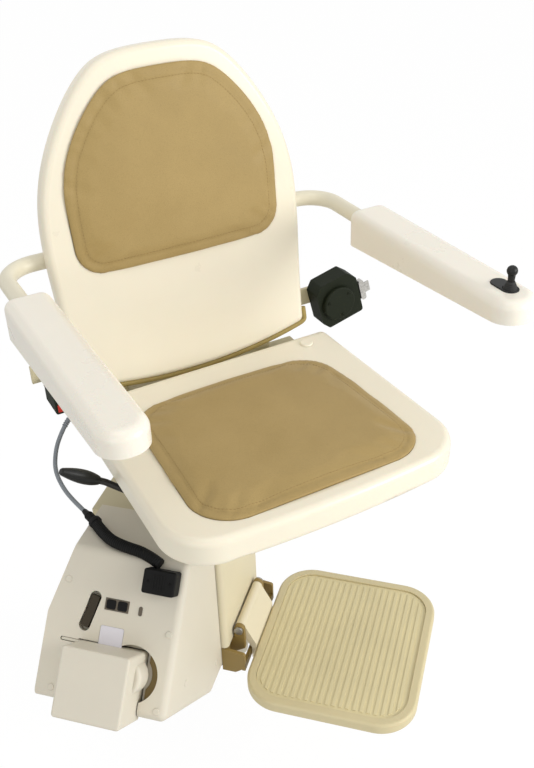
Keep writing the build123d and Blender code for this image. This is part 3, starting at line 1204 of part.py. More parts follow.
def make_buckle_button():
    front = BUCKLE_FRONT_Y
    return block((BUCKLE_X - 5.7, BUCKLE_X + 5.7), (front + 0.5, front + 7), (BUCKLE_Z - 10.7, BUCKLE_Z + 2.7))


# ---------------------------------------------------------------- isolator, display, plug and cable
def isolator_place():
    return UPHILL_END * Pos(-ISOLATOR_Y, ISOLATOR_UP) * Rot(0, 0, -ISOLATOR_TILT)


def make_isolator():
    """Rocker of the isolating switch in its slanted well, on its two trunnions."""
    rocker = block((-6.5, 6.5), (-24, 24), (-7, 1.5))
    dish = polygon((-24, 1.5), (0, -2.2), (24, 1.5), (24, 5), (-24, 5))
    rocker -= slab_x(dish, -10, 10)
    rocker += rod_x(TRUNNION_RADIUS, -TRUNNION_REACH, TRUNNION_REACH, 0, TRUNNION_DEPTH)
    return isolator_place() * rocker


def make_display():
    face = on_uphill_end(Rectangle(DISPLAY_WIDTH - 0.6, DISPLAY_HEIGHT - 0.6), DISPLAY_Y, DISPLAY_UP, -6, 0.6)
    face += on_uphill_end(Rectangle(DISPLAY_WIDTH + 8, DISPLAY_HEIGHT + 8), DISPLAY_Y, DISPLAY_UP, -6, -COVER_WALL - 0.2)
    return face


def make_lamp():
    lens = on_uphill_end(SlotOverall(13.6, 5.6, rotation=90), LAMP_Y, LAMP_UP, -6, 0.8)
    return lens + on_uphill_end(Rectangle(14, 22), LAMP_Y, LAMP_UP, -6, -COVER_WALL - 0.2)


def make_cable_plug():
    """Chunky moulded plug in the end cover's socket."""
    body = on_uphill_end(RectangleRounded(PLUG_WIDTH, PLUG_HEIGHT, 4), PLUG_Y, PLUG_UP, 0, 26)
    body = fillet(body.faces().sort_by(Axis.X)[0].edges(), 3)
    return body + on_uphill_end(Rectangle(PLUG_WIDTH - 10.6, PLUG_HEIGHT - 10.6), PLUG_Y, PLUG_UP, -9, 0)


def arc_radii(points, share=0.45):
    """The largest tangent arc that each corner's two runs allow."""
    radii = []
    for a, b, c in zip(points, points[1:], points[2:]):
        first = Vector(*b) - Vector(*a)
        second = Vector(*c) - Vector(*b)
        turn = first.get_angle(second)
        radii.append(share * min(first.length, second.length) / math.tan(math.radians(turn / 2)))
    return radii


def make_seat_cable():
    radii = arc_radii(CABLE_POINTS)
    print("seat cable radii", [round(r, 1) for r in radii])
    tube = tube_along(CABLE_POINTS, CABLE_RADIUS, radii)
    length = tube.volume / (math.pi * CABLE_RADIUS ** 2)
    print("seat cable length", round(length, 1))
    return tube


def make_cable_sleeve():
    """Thick sleeve along the carriage's top edge, with the moulded connector that the seat's cable enters."""
    radii = arc_radii(SLEEVE_POINTS)
    print("sleeve radii", [round(r, 1) for r in radii])
    start = Vector(*CABLE_POINTS[-1])
    run = Vector(*SLEEVE_START) - start
    place = Plane(origin=start, z_dir=run)
    connector = place.location * pin_up(6.5, run.length + 1)
    bore = place.location * pin_up(CABLE_RADIUS + RUNNING_GAP, 4)
    sleeve = tube_along(SLEEVE_POINTS, SLEEVE_RADIUS, radii)
    return sleeve + connector - bore - make_cable_plug()


# ---------------------------------------------------------------- assembly
def seat(shape):
    if isinstance(shape, list):
        return [SEAT * s for s in shape]
    return SEAT * shape


def back(shape):
    return BACK * shape


NODES["uphill_cover"] = make_uphill_cover()
NODES["downhill_cover"] = make_downhill_cover()
NODES["column_cover"] = make_column_cover()
NODES["chassis_plate"] = make_chassis_plate()
NODES["roller_axles"] = make_axles()
for number, station in enumerate(roller_stations(), 1):
    x, z = from_rail(*station)
    NODES["roller_%d" % number] = Pos(x, 0, z) * make_roller()
NODES["drive_pinion"] = make_drive_pinion()
NODES["gearbox"] = make_gearbox()
NODES["drive_motor"] = make_motor()
NODES["batteries"] = make_batteries()
NODES["battery_tray"] = make_battery_tray()
NODES["control_board"] = make_control_board()
guides = []
for name, low, tall, uphill in (("uphill", UPHILL_BUMPER_BOTTOM, UPHILL_BUMPER_HEIGHT, True),
                                ("downhill", DOWNHILL_BUMPER_BOTTOM, DOWNHILL_BUMPER_HEIGHT, False)):
    NODES[name + "_bumper"] = make_bumper(low, tall, uphill)
    NODES[name + "_bumper_springs"] = make_bumper_springs(low, tall, uphill)
    guides.append(make_bumper_guides(low, tall, uphill))
NODES["bumper_guides"] = guides
NODES["column_post"] = make_column_post()
NODES["post_head"] = make_post_head()
NODES["swivel_post"] = make_swivel_post()
NODES["index_plate"] = make_index_plate()
NODES["swivel_bushes"] = seat(make_swivel_bushes())
NODES["footrest_bracket"] = make_footrest_bracket()
NODES["footrest_hinge_pin"] = make_hinge_pin()
NODES["footrest_leaf"] = make_hinge_leaf()
NODES["footrest_shell"] = make_footrest_shell()
NODES["footrest_mat"] = make_footrest_mat()
NODES["seat_frame"] = seat(make_seat_frame())
NODES["back_frame"] = seat(make_back_frame())
NODES["swivel_lever"] = seat(make_swivel_lever())
NODES["lever_grip"] = seat(make_lever_grip())
NODES["latch_pin"] = seat(make_latch_pin())
NODES["seat_shell"] = seat(make_seat_shell())
NODES["seat_base"] = seat(make_seat_base())
NODES["seat_hinge_pins"] = seat(make_seat_pins())
NODES["seat_caps"] = seat(make_seat_caps())
NODES["seat_stops"] = seat(make_seat_stops())
NODES["seat_pad"] = seat(make_seat_pad())
NODES["back_shell"] = back(make_back_shell())
NODES["back_cover"] = back(make_back_cover())
NODES["back_pad"] = back(make_back_pad())
NODES["left_arm_bar"] = seat(make_arm_bar(1))
NODES["right_arm_bar"] = seat(make_arm_bar(-1))
NODES["left_arm_pad"] = seat(cut_joystick_well(make_arm_pad(1)))
NODES["right_arm_pad"] = seat(make_arm_pad(-1))
NODES["joystick_bezel"] = seat(make_joystick_bezel())
NODES["joystick"] = seat(make_joystick())
NODES["belt_retractor"] = seat(make_belt_retractor())
NODES["belt_webbing"] = seat(make_belt_webbing())
NODES["belt_tongue"] = seat(make_belt_tongue())
NODES["belt_buckle"] = seat(make_belt_buckle())
NODES["buckle_button"] = seat(make_buckle_button())
NODES["isolator_rocker"] = make_isolator()
NODES["end_windows"] = [make_display(), make_lamp()]
NODES["cable_plug"] = make_cable_plug()
NODES["cable_sleeve"] = make_cable_sleeve()
NODES["seat_cable"] = make_seat_cable()

os.makedirs("parts", exist_ok=True)
for name, shape in NODES.items():
    if isinstance(shape, list):
        shape = Compound(children=shape)
    export_step(shape, "parts/%s.step" % name)
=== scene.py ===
import math

import bmesh
import bpy
from mathutils import Matrix, Vector, noise
from mathutils.bvhtree import BVHTree


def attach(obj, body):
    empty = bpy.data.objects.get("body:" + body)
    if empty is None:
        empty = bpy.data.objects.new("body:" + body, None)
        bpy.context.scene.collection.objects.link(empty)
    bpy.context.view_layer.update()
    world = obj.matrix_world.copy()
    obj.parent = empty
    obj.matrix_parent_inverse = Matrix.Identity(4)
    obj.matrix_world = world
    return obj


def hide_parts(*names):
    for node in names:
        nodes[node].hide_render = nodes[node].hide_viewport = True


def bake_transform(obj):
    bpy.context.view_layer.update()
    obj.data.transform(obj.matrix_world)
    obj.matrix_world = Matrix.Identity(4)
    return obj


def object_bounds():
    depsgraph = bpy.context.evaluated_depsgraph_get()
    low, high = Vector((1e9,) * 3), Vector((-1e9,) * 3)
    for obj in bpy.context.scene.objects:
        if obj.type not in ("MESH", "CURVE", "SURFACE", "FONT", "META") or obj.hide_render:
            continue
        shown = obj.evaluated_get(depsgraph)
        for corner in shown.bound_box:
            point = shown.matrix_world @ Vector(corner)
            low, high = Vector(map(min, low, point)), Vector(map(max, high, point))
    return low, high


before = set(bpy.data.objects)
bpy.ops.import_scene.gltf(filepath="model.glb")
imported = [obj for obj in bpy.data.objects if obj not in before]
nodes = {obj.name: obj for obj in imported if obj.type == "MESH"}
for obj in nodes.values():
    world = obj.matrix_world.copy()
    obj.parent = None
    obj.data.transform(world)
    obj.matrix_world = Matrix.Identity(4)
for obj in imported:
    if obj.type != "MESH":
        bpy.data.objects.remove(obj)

scene = bpy.context.scene
cad_low, cad_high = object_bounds()

# ---------------------------------------------------------------- camera
# Eye level well above the seat, on the uphill side of the chair, looking down at it.
# The picture is a hand-held one: it leans two degrees.
CAMERA_PLACE = Vector((-1.0609, -0.6686, 1.2418))
CAMERA_YAW = math.radians(72.9)
CAMERA_PITCH = math.radians(33.0)
CAMERA_LEAN = math.radians(2.0)
CAMERA_LENS = 45.74


def linked(name, data):
    """A new object in the scene."""
    thing = bpy.data.objects.new(name, data)
    scene.collection.objects.link(thing)
    return thing


forward = Vector((
    math.sin(CAMERA_YAW) * math.cos(CAMERA_PITCH),
    math.cos(CAMERA_YAW) * math.cos(CAMERA_PITCH),
    -math.sin(CAMERA_PITCH),
))
level = Vector((math.cos(CAMERA_YAW), -math.sin(CAMERA_YAW), 0.0))
down = forward.cross(level)
right = level * math.cos(CAMERA_LEAN) + down * math.sin(CAMERA_LEAN)
below = down * math.cos(CAMERA_LEAN) - level * math.sin(CAMERA_LEAN)
camera = linked("camera", bpy.data.cameras.new("camera"))
camera.data.lens = CAMERA_LENS
camera.data.sensor_width = 36.0
camera.data.clip_start = 0.01
camera.data.clip_end = 40.0
facing = Matrix((right, -below, -forward)).transposed().to_4x4()
camera.matrix_world = Matrix.Translation(CAMERA_PLACE) @ facing
scene.camera = camera

# ---------------------------------------------------------------- seat cable
# The lead of the seat's switches: a grey PVC sheath that hangs in an open loop beside the seat.
# Its upper end goes up into the seat frame, its lower end into the moulded connector on the carriage.
CABLE_DIAMETER = 0.007
CABLE_ROUTE = [
    (0.062, 0.014, 0.352), (0.050, 0.022, 0.334), (0.036, 0.026, 0.312), (0.016, 0.020, 0.291),
    (-0.004, -0.002, 0.275), (-0.020, -0.028, 0.266), (-0.032, -0.050, 0.2615),
]


def shown_as(red, green, blue):
    """The scene's value of a colour given as it shows on a display, each part from 0 to 255."""
    parts = [c / 255 for c in (red, green, blue)]
    return tuple(((c + 0.055) / 1.055) ** 2.4 if c > 0.04 else c / 12.92 for c in parts) + (1.0,)


def set_inputs(node, values):
    """Sets a node's unlinked inputs, each found by its name or its number."""
    for name, value in values.items():
        node.inputs[name].default_value = value


def add(tree, kind, values=None, **settings):
    """A new node with its settings made and its unlinked inputs set."""
    node = tree.nodes.new(kind)
    for name, value in settings.items():
        setattr(node, name, value)
    set_inputs(node, values or {})
    return node


def ranged(tree, from_low, from_high, to_low, to_high):
    """A node that carries one range of values over to another."""
    ends = {"From Min": from_low, "From Max": from_high, "To Min": to_low, "To Max": to_high}
    return add(tree, "ShaderNodeMapRange", ends)


def link(tree, *runs):
    """Links in a tree, each given as a node, its output, the next node and its input."""
    for source, output, target, entry in runs:
        tree.links.new(source.outputs[output], target.inputs[entry])


def new_material(name):
    """A new node material, its tree and its shader."""
    material = bpy.data.materials.new(name)
    material.use_nodes = True
    return material, material.node_tree, material.node_tree.nodes["Principled BSDF"]


def moulded(name, colour, roughness, drift=0.03, grain=0.15, grain_size=0.0008, crease_shade=0.2,
            coat=0.0, soft=0.0, shine=0.5):
    """Moulded plastic or rubber: a slow drift of tone and gloss, a fine cast grain, and painted shade that
    darkens the creases.
    """
    material, tree, shader = new_material(name)
    where = add(tree, "ShaderNodeTexCoord")
    cloud = add(tree, "ShaderNodeTexNoise", {"Scale": 7.0, "Detail": 6.0, "Roughness": 0.6})
    tone = ranged(tree, 0.3, 0.7, 1.0 - drift, 1.0 + drift)
    paint = add(tree, "ShaderNodeMixRGB", {"Fac": 1.0, "Color1": shown_as(*colour)}, blend_type="MULTIPLY")
    # Painted shade: ambient occlusion darkens the base colour in creases and corners.
    crease = add(tree, "ShaderNodeAmbientOcclusion", {"Distance": 0.006}, samples=4)
    crease_shade_range = ranged(tree, 0.3, 0.9, 1.0 - crease_shade, 1.0)
    colour_with_crease_shade = add(tree, "ShaderNodeMixRGB", {"Fac": 1.0}, blend_type="MULTIPLY")
    gloss = ranged(tree, 0.3, 0.7, max(roughness - 0.05, 0.02), min(roughness + 0.07, 1.0))
    cast = add(tree, "ShaderNodeTexNoise", {"Scale": 1.0 / grain_size, "Detail": 3.0})
    bump = add(tree, "ShaderNodeBump", {"Strength": grain, "Distance": 0.0003})
    link(
        tree,
        (where, "Object", cloud, "Vector"),
        (where, "Object", cast, "Vector"),
        (cloud, "Fac", tone, "Value"),
        (tone, "Result", paint, "Color2"),
        (paint, "Color", colour_with_crease_shade, "Color1"),
        (crease, "AO", crease_shade_range, "Value"),
        (crease_shade_range, "Result", colour_with_crease_shade, "Color2"),
        (colour_with_crease_shade, "Color", shader, "Base Color"),
        (cloud, "Fac", gloss, "Value"),
        (gloss, "Result", shader, "Roughness"),
        (cast, "Fac", bump, "Height"),
        (bump, "Normal", shader, "Normal"),
    )
    set_inputs(shader, {
        "Specular IOR Level": shine,
        "Coat Weight": coat,
        "Coat Roughness": 0.15,
        "Subsurface Weight": soft,
        "Subsurface Scale": 0.003,
    })
    return material


def node_group(name, output, inputs):
    """A new Geometry Nodes tree, its named inputs' identifiers, and its two end nodes."""
    tree = bpy.data.node_groups.new(name, "GeometryNodeTree")
    sockets = {}
    for label, kind in inputs:
        entry = tree.interface.new_socket(name=label, in_out="INPUT", socket_type="NodeSocket" + kind)
        sockets[label] = entry.identifier
    tree.interface.new_socket(name=output, in_out="OUTPUT", socket_type="NodeSocketGeometry")
    return tree, sockets, add(tree, "NodeGroupInput"), add(tree, "NodeGroupOutput")


def run_tree(thing, tree, sockets, sizes):
    """Puts a Geometry Nodes tree on an object, each named input set by its socket's identifier."""
    modifier = thing.modifiers.new(tree.name, "NODES")
    modifier.node_group = tree
    for label, value in sizes.items():
        modifier[sockets[label]] = value


def sheath_tree():
    """A tube swept along a line, with rings moulded round it where their depth is above nought."""
    tree, sockets, given, result = node_group("sheath", "Tube", (
        ("Line", "Geometry"),
        ("Radius", "Float"),
        ("Ring depth", "Float"),
        ("Ring pitch", "Float"),
        ("Step", "Float"),
        ("Finish", "Material"),
    ))
    even = add(tree, "GeometryNodeResampleCurve", mode="LENGTH")
    along = add(tree, "GeometryNodeSplineParameter")
    turns = add(tree, "ShaderNodeMath", operation="DIVIDE")
    angle = add(tree, "ShaderNodeMath", {1: 2 * math.pi}, operation="MULTIPLY")
    wave = add(tree, "ShaderNodeMath", operation="SINE")
    swell = add(tree, "ShaderNodeMath", operation="MULTIPLY_ADD")
    ring = add(tree, "GeometryNodeCurvePrimitiveCircle", {"Resolution": 20, "Radius": 1.0})
    sweep = add(tree, "GeometryNodeCurveToMesh", {"Fill Caps": True})
    smooth = add(tree, "GeometryNodeSetShadeSmooth")
    skin = add(tree, "GeometryNodeSetMaterial")
    link(
        tree,
        (given, "Line", even, "Curve"),
        (given, "Step", even, "Length"),
        (along, "Length", turns, 0),
        (given, "Ring pitch", turns, 1),
        (turns, 0, angle, 0),
        (angle, 0, wave, 0),
        (wave, 0, swell, 0),
        (given, "Ring depth", swell, 1),
        (given, "Radius", swell, 2),
        (even, "Curve", sweep, "Curve"),
        (swell, 0, sweep, "Scale"),
        (ring, "Curve", sweep, "Profile Curve"),
        (sweep, "Mesh", smooth, "Geometry"),
        (smooth, "Geometry", skin, "Geometry"),
        (given, "Finish", skin, "Material"),
        (skin, "Geometry", result, "Tube"),
    )
    return tree, sockets


def mesh_now(thing):
    """The mesh that an object and its modifiers make now."""
    return bpy.data.meshes.new_from_object(thing.evaluated_get(bpy.context.evaluated_depsgraph_get()))


def settled(thing, name):
    """A plain mesh piece of what an object and its modifiers make, closed and with its faces outwards."""
    bpy.context.view_layer.update()
    mesh = mesh_now(thing)
    bpy.data.objects.remove(thing)
    shell = bmesh.new()
    shell.from_mesh(mesh)
    bmesh.ops.remove_doubles(shell, verts=shell.verts, dist=1e-6)
    bmesh.ops.recalc_face_normals(shell, faces=shell.faces)
    shell.to_mesh(mesh)
    shell.free()
    return linked(name, mesh)


def route_line(name, route):
    """A smooth line with the route's points as its control points, and the points that it runs through."""
    curve = bpy.data.curves.new(name, "CURVE")
    curve.dimensions = "3D"
    spline = curve.splines.new("NURBS")
    spline.points.add(len(route) - 1)
    for point, place in zip(spline.points, route):
        point.co = (*place, 1.0)
    spline.order_u = 3
    spline.use_endpoint_u = True
    spline.resolution_u = 24
    line = linked(name, curve)
    bpy.context.view_layer.update()
    return line, [v.co.copy() for v in mesh_now(line).vertices]


SHEATH, SHEATH_SIZES = sheath_tree()


def sheathed(name, line, radius, step, finish, ring_depth=0.0, ring_pitch=0.01):
    """The sheath tree on a line, made a plain mesh tube."""
    run_tree(line, SHEATH, SHEATH_SIZES, {
        "Radius": radius,
        "Ring depth": ring_depth,
        "Ring pitch": ring_pitch,
        "Step": step,
        "Finish": finish,
    })
    return settled(line, name)


CABLE_GREY = moulded("cable_grey", (132, 138, 144), 0.42, grain=0.05, crease_shade=0.1)
cable_line, cable_path = route_line("cable_line", CABLE_ROUTE)
cable = sheathed("cable", cable_line, CABLE_DIAMETER / 2, 0.0015, CABLE_GREY)
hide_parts("seat_cable")
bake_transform(cable)

# ---------------------------------------------------------------- cable conduit
# Black corrugated conduit that carries the lead over the cover's shoulder, from a moulded connector
# with grip rings, which takes the thin lead, to the plug in the end cover. Pushed on at both ends.
CONDUIT_DIAMETER = 0.018
CORRUGATION_DEPTH = 0.0006
CORRUGATION_PITCH = 0.0034
CONDUIT_ROUTE = [
    (-0.048, -0.074, 0.259), (-0.076, -0.104, 0.2582), (-0.088, -0.140, 0.2582), (-0.093, -0.176, 0.2582),
    (-0.103, -0.202, 0.251),
]
GRIP_RINGS = 5
GRIP_PITCH = 0.003


def ring_of(shape, reach, height, sides):
    """Points round the z axis at one height, as far out as reach says for each angle."""
    turns = [2 * math.pi * k / sides for k in range(sides)]
    return [shape.verts.new((reach(a) * math.cos(a), reach(a) * math.sin(a), height)) for a in turns]


def closed_skin(shape, rings, smooth):
    """Faces from ring to ring and over both ends, all of them outwards."""
    for lower, upper in zip(rings, rings[1:]):
        for k, point in enumerate(lower):
            after = (k + 1) % len(lower)
            shape.faces.new((point, lower[after], upper[after], upper[k])).smooth = smooth
    shape.faces.new(reversed(rings[0]))
    shape.faces.new(rings[-1])
    bmesh.ops.recalc_face_normals(shape, faces=shape.faces)


def piece_of(shape, name, material=None, place=None):
    """A piece made of a shape, moved to its place, with its one material."""
    if place:
        bmesh.ops.transform(shape, matrix=place, verts=shape.verts)
    mesh = bpy.data.meshes.new(name)
    shape.to_mesh(mesh)
    shape.free()
    if material:
        mesh.materials.append(material)
    return linked(name, mesh)


def turned(name, profile, place, sides, material):
    """A turned piece: rings of the profile's (radius, height) pairs about the place's own z axis."""
    shape = bmesh.new()
    rings = [ring_of(shape, lambda a, r=radius: r, height, sides) for radius, height in profile]
    closed_skin(shape, rings, True)
    return piece_of(shape, name, material, place)


CONDUIT_BLACK = moulded("conduit_black", (13, 14, 13), 0.6, grain=0.1, crease_shade=0.1, shine=0.25)
conduit_line, conduit_path = route_line("conduit_line", CONDUIT_ROUTE)
conduit = sheathed("conduit", conduit_line, CONDUIT_DIAMETER / 2 - CORRUGATION_DEPTH, 0.0004, CONDUIT_BLACK,
                   CORRUGATION_DEPTH, CORRUGATION_PITCH)
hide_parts("cable_sleeve")
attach(conduit, "carriage")

connector_start = Vector(CABLE_ROUTE[-1])
connector_run = Vector(CONDUIT_ROUTE[0]) - connector_start
connector_turn = connector_run.to_track_quat("Z", "Y").to_matrix().to_4x4()
connector_place = Matrix.Translation(connector_start) @ connector_turn
profile = [(0.0037, -0.002), (0.0042, -0.0015), (0.0052, 0.006), (0.0064, 0.009)]
for ring in range(GRIP_RINGS):
    foot = 0.010 + ring * GRIP_PITCH
    profile += [(0.0064, foot), (0.0072, foot + 0.0005), (0.0072, foot + 0.0016), (0.0064, foot + 0.0021)]
profile += [(0.0070, 0.0255), (0.0098, 0.0262), (0.0101, 0.0270), (0.0101, 0.0325), (0.0094, 0.0335)]
connector = turned("conduit_connector", profile, connector_place, 28, CONDUIT_BLACK)
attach(connector, "carriage")

# ---------------------------------------------------------------- studio
# A pale sweep and a white surround, as in a catalogue cut-out: the camera, gloss and glass see white,
# and three soft lamps light the chair evenly from the front, from above and from the uphill side.
FLOOR_Z = cad_low.z - 0.10
FLOOR_HALF = 12
WHITE = (1.0, 1.0, 1.0, 1.0)
LAMP_AIM = Vector((0.05, -0.30, 0.35))
LAMP_WHITE = (1.0, 0.99, 0.965)


def white_to(tree, rays, share, plain, white, surface):
    """Shows a share of the white to the named kinds of ray, and the plain finish to all the others."""
    path = add(tree, "ShaderNodeLightPath")
    seen = path.outputs[rays[0]]
    for kind in rays[1:]:
        either = add(tree, "ShaderNodeMath", operation="MAXIMUM")
        tree.links.new(seen, either.inputs[0])
        tree.links.new(path.outputs[kind], either.inputs[1])
        seen = either.outputs[0]
    part = add(tree, "ShaderNodeMath", {1: share}, operation="MULTIPLY")
    tree.links.new(seen, part.inputs[0])
    mixed = add(tree, "ShaderNodeMixShader")
    link(tree, (part, 0, mixed, "Fac"), (plain, 0, mixed, 1), (white, 0, mixed, 2))
    link(tree, (mixed, 0, surface, "Surface"))


floor_mesh = bpy.data.meshes.new("floor")
floor_corners = [(FLOOR_HALF * x, FLOOR_HALF * y, FLOOR_Z) for x, y in ((-1, -1), (1, -1), (1, 1), (-1, 1))]
floor_mesh.from_pydata(floor_corners, [], [(0, 1, 2, 3)])
floor = linked("floor", floor_mesh)
pale, tree, _ = new_material("pale_floor")
tree.nodes.clear()
matt = add(tree, "ShaderNodeBsdfDiffuse", {"Color": (0.80, 0.80, 0.79, 1.0)})
glow = add(tree, "ShaderNodeEmission", {"Color": WHITE, "Strength": 1.04})
surface = add(tree, "ShaderNodeOutputMaterial")
white_to(tree, ("Is Camera Ray", "Is Transmission Ray"), 0.90, matt, glow, surface)
floor_mesh.materials.append(pale)

scene.view_settings.view_transform = "Standard"
scene.world = bpy.data.worlds.new("studio")
scene.world.use_nodes = True
tree = scene.world.node_tree
tree.nodes.clear()
white = add(tree, "ShaderNodeBackground", {"Color": WHITE})
fill = add(tree, "ShaderNodeBackground", {"Color": WHITE, "Strength": 0.70})
surround = add(tree, "ShaderNodeOutputWorld")
white_to(tree, ("Is Camera Ray", "Is Glossy Ray", "Is Transmission Ray"), 1.0, fill, white, surround)

for name, place, size, power in (
    ("front_lamp", (-0.2, -3.0, 1.3), 1.5, 44.0),
    ("top_lamp", (-0.5, -0.3, 3.0), 1.6, 7.0),
    ("side_lamp", (-2.8, 0.1, 1.2), 1.6, 7.0),
):
    light = bpy.data.lights.new(name, "AREA")
    light.shape = "DISK"
    light.size = size
    light.energy = power
    light.color = LAMP_WHITE
    lamp = linked(name, light)
    lamp.location = place
    lamp.rotation_euler = (LAMP_AIM - Vector(place)).to_track_quat("-Z", "Y").to_euler()

# ---------------------------------------------------------------- end covers and bumpers
# The carriage's two end covers and their bumpers: beige ABS mouldings with a fine spark-eroded grain. The
# covers are screwed to the chassis plate, with a push-in cap over each screw. A brown crescent laid in the
# round hollow beside the uphill bumper is painted shade: it stands for the shadow inside the hollow.
COVER_BEIGE = moulded("cover_beige", (220, 213, 196), 0.5, drift=0.025, grain=0.3, crease_shade=0.3, soft=0.03)
RAIL_ANGLE = math.radians(39.5)
END_ALONG = 0.230
END_PLACE = Matrix((
    (0.0, math.sin(RAIL_ANGLE), -math.cos(RAIL_ANGLE), -END_ALONG * math.cos(RAIL_ANGLE)),
    (-1.0, 0.0, 0.0, 0.0),
    (0.0, math.cos(RAIL_ANGLE), math.sin(RAIL_ANGLE), END_ALONG * math.sin(RAIL_ANGLE)),
    (0.0, 0.0, 0.0, 1.0),
))
END_INWARDS = END_PLACE.to_3x3() @ Vector((0, 0, -1))
CAP_SHAPE = (0.0052, 0.0012, 0.0)
HEAD_SIDES = 24
HEAD_SKIRT = 0.0003
SCREW_LINE = 0.5


def on_rail(along, up, y):
    """A point of the carriage, given along the rail and square to it."""
    return (along * math.cos(RAIL_ANGLE) + up * math.sin(RAIL_ANGLE), y,
            -along * math.sin(RAIL_ANGLE) + up * math.cos(RAIL_ANGLE))


def dress(material, *names):
    """Gives CAD nodes their finish."""
    for name in names:
        for slot in nodes[name].material_slots:
            slot.material = material


def cross_head(name, radius, height, recess):
    """A domed screw head with a cross recess, or a plain cap where the recess is nought."""
    shape = bmesh.new()
    slot_half = radius * 0.13
    slot_end = radius * 0.55

    def cross(angle):
        along = max(abs(math.cos(angle)), 1e-4)
        across = max(abs(math.sin(angle)), 1e-4)
        return max(min(slot_half / along, slot_end / across), min(slot_end / along, slot_half / across))

    rings = [ring_of(shape, lambda a: radius, -HEAD_SKIRT, HEAD_SIDES)]
    for step in range(5):
        tilt = math.radians(18 * step)
        reach = radius * (0.72 + 0.28 * math.cos(tilt))
        rings.append(ring_of(shape, lambda a, r=reach: r, height * math.sin(tilt), HEAD_SIDES))
    if recess:
        rings.append(ring_of(shape, cross, height, HEAD_SIDES))
        rings.append(ring_of(shape, lambda a: cross(a) * 0.9, height - recess, HEAD_SIDES))
    closed_skin(shape, rings, not recess)
    return piece_of(shape, name)


def fixing_tree():
    """Copies of a head on points, each square to the surface there and turned by its own random angle."""
    tree, sockets, given, result = node_group("fixings", "Heads", (
        ("Points", "Geometry"),
        ("Head", "Object"),
        ("Size", "Float"),
        ("Seed", "Int"),
        ("Finish", "Material"),
    ))
    head = add(tree, "GeometryNodeObjectInfo")
    aim = add(tree, "GeometryNodeInputNamedAttribute", {"Name": "aim"}, data_type="FLOAT_VECTOR")
    square = add(tree, "FunctionNodeAlignRotationToVector", axis="Z")
    chance = add(tree, "FunctionNodeRandomValue", {2: 0.0, 3: 2 * math.pi}, data_type="FLOAT")
    spin = add(tree, "FunctionNodeAxisAngleToRotation", {"Axis": (0.0, 0.0, 1.0)})
    twist = add(tree, "FunctionNodeRotateRotation", rotation_space="LOCAL")
    copies = add(tree, "GeometryNodeInstanceOnPoints")
    real = add(tree, "GeometryNodeRealizeInstances")
    skin = add(tree, "GeometryNodeSetMaterial")
    link(
        tree,
        (given, "Head", head, "Object"),
        (aim, "Attribute", square, "Vector"),
        (given, "Seed", chance, "Seed"),
        (chance, 1, spin, "Angle"),
        (square, "Rotation", twist, "Rotation"),
        (spin, "Rotation", twist, "Rotate By"),
        (given, "Points", copies, "Points"),
        (head, "Geometry", copies, "Instance"),
        (twist, "Rotation", copies, "Rotation"),
        (given, "Size", copies, "Scale"),
        (copies, "Instances", real, "Geometry"),
        (real, "Geometry", skin, "Geometry"),
        (given, "Finish", skin, "Material"),
        (skin, "Geometry", result, "Heads"),
    )
    return tree, sockets


FIXINGS, FIXING_SIZES = fixing_tree()


def surface_of(mesh):
    """The surface of a mesh, for setting things on it."""
    return BVHTree.FromPolygons([v.co for v in mesh.vertices], [p.vertices for p in mesh.polygons])


def fixings(name, on, starts, towards, head_shape, material, body, seed=1):
    """Screw heads or caps on a node, where lines from the starts first meet it. They ride on a body."""
    surface = surface_of(nodes[on].data)
    places = []
    normals = []
    for start in starts:
        place, normal, _, _ = surface.ray_cast(Vector(start), Vector(towards), SCREW_LINE)
        if place is None:
            raise ValueError(name + " misses " + on)
        if normal.dot(Vector(towards)) > 0:
            normal = -normal
        places.append(place)
        normals.append(normal)
    mesh = bpy.data.meshes.new(name + "_points")
    mesh.from_pydata(places, [], [])
    aim = mesh.attributes.new("aim", "FLOAT_VECTOR", "POINT")
    for entry, normal in zip(aim.data, normals):
        entry.vector = normal
    points = linked(name + "_points", mesh)
    head = cross_head(name + "_head", *head_shape)
    run_tree(points, FIXINGS, FIXING_SIZES, {"Head": head, "Size": 1.0, "Seed": seed, "Finish": material})
    piece = settled(points, name)
    bpy.data.objects.remove(head)
    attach(piece, body)


dress(COVER_BEIGE, "uphill_cover", "downhill_cover", "uphill_bumper", "downhill_bumper")
end_caps = [(0.060, 0.082), (0.060, -0.078), (0.228, -0.080), (0.229, 0.030)]
fixings("uphill_end_caps", "uphill_cover", [END_PLACE @ Vector((x, up, 0.06)) for x, up in end_caps],
        END_INWARDS, CAP_SHAPE, COVER_BEIGE, "carriage")
side_caps = [(-0.020, -0.35, 0.205), (-0.020, -0.35, -0.040), (-0.150, -0.35, 0.060)]
fixings("uphill_side_caps", "uphill_cover", side_caps, (0, 1, 0), CAP_SHAPE, COVER_BEIGE, "carriage")
side_caps = [on_rail(0.205, up, -0.35) for up in (0.068, -0.040)]
fixings("downhill_side_caps", "downhill_cover", side_caps, (0, 1, 0), CAP_SHAPE, COVER_BEIGE, "carriage")

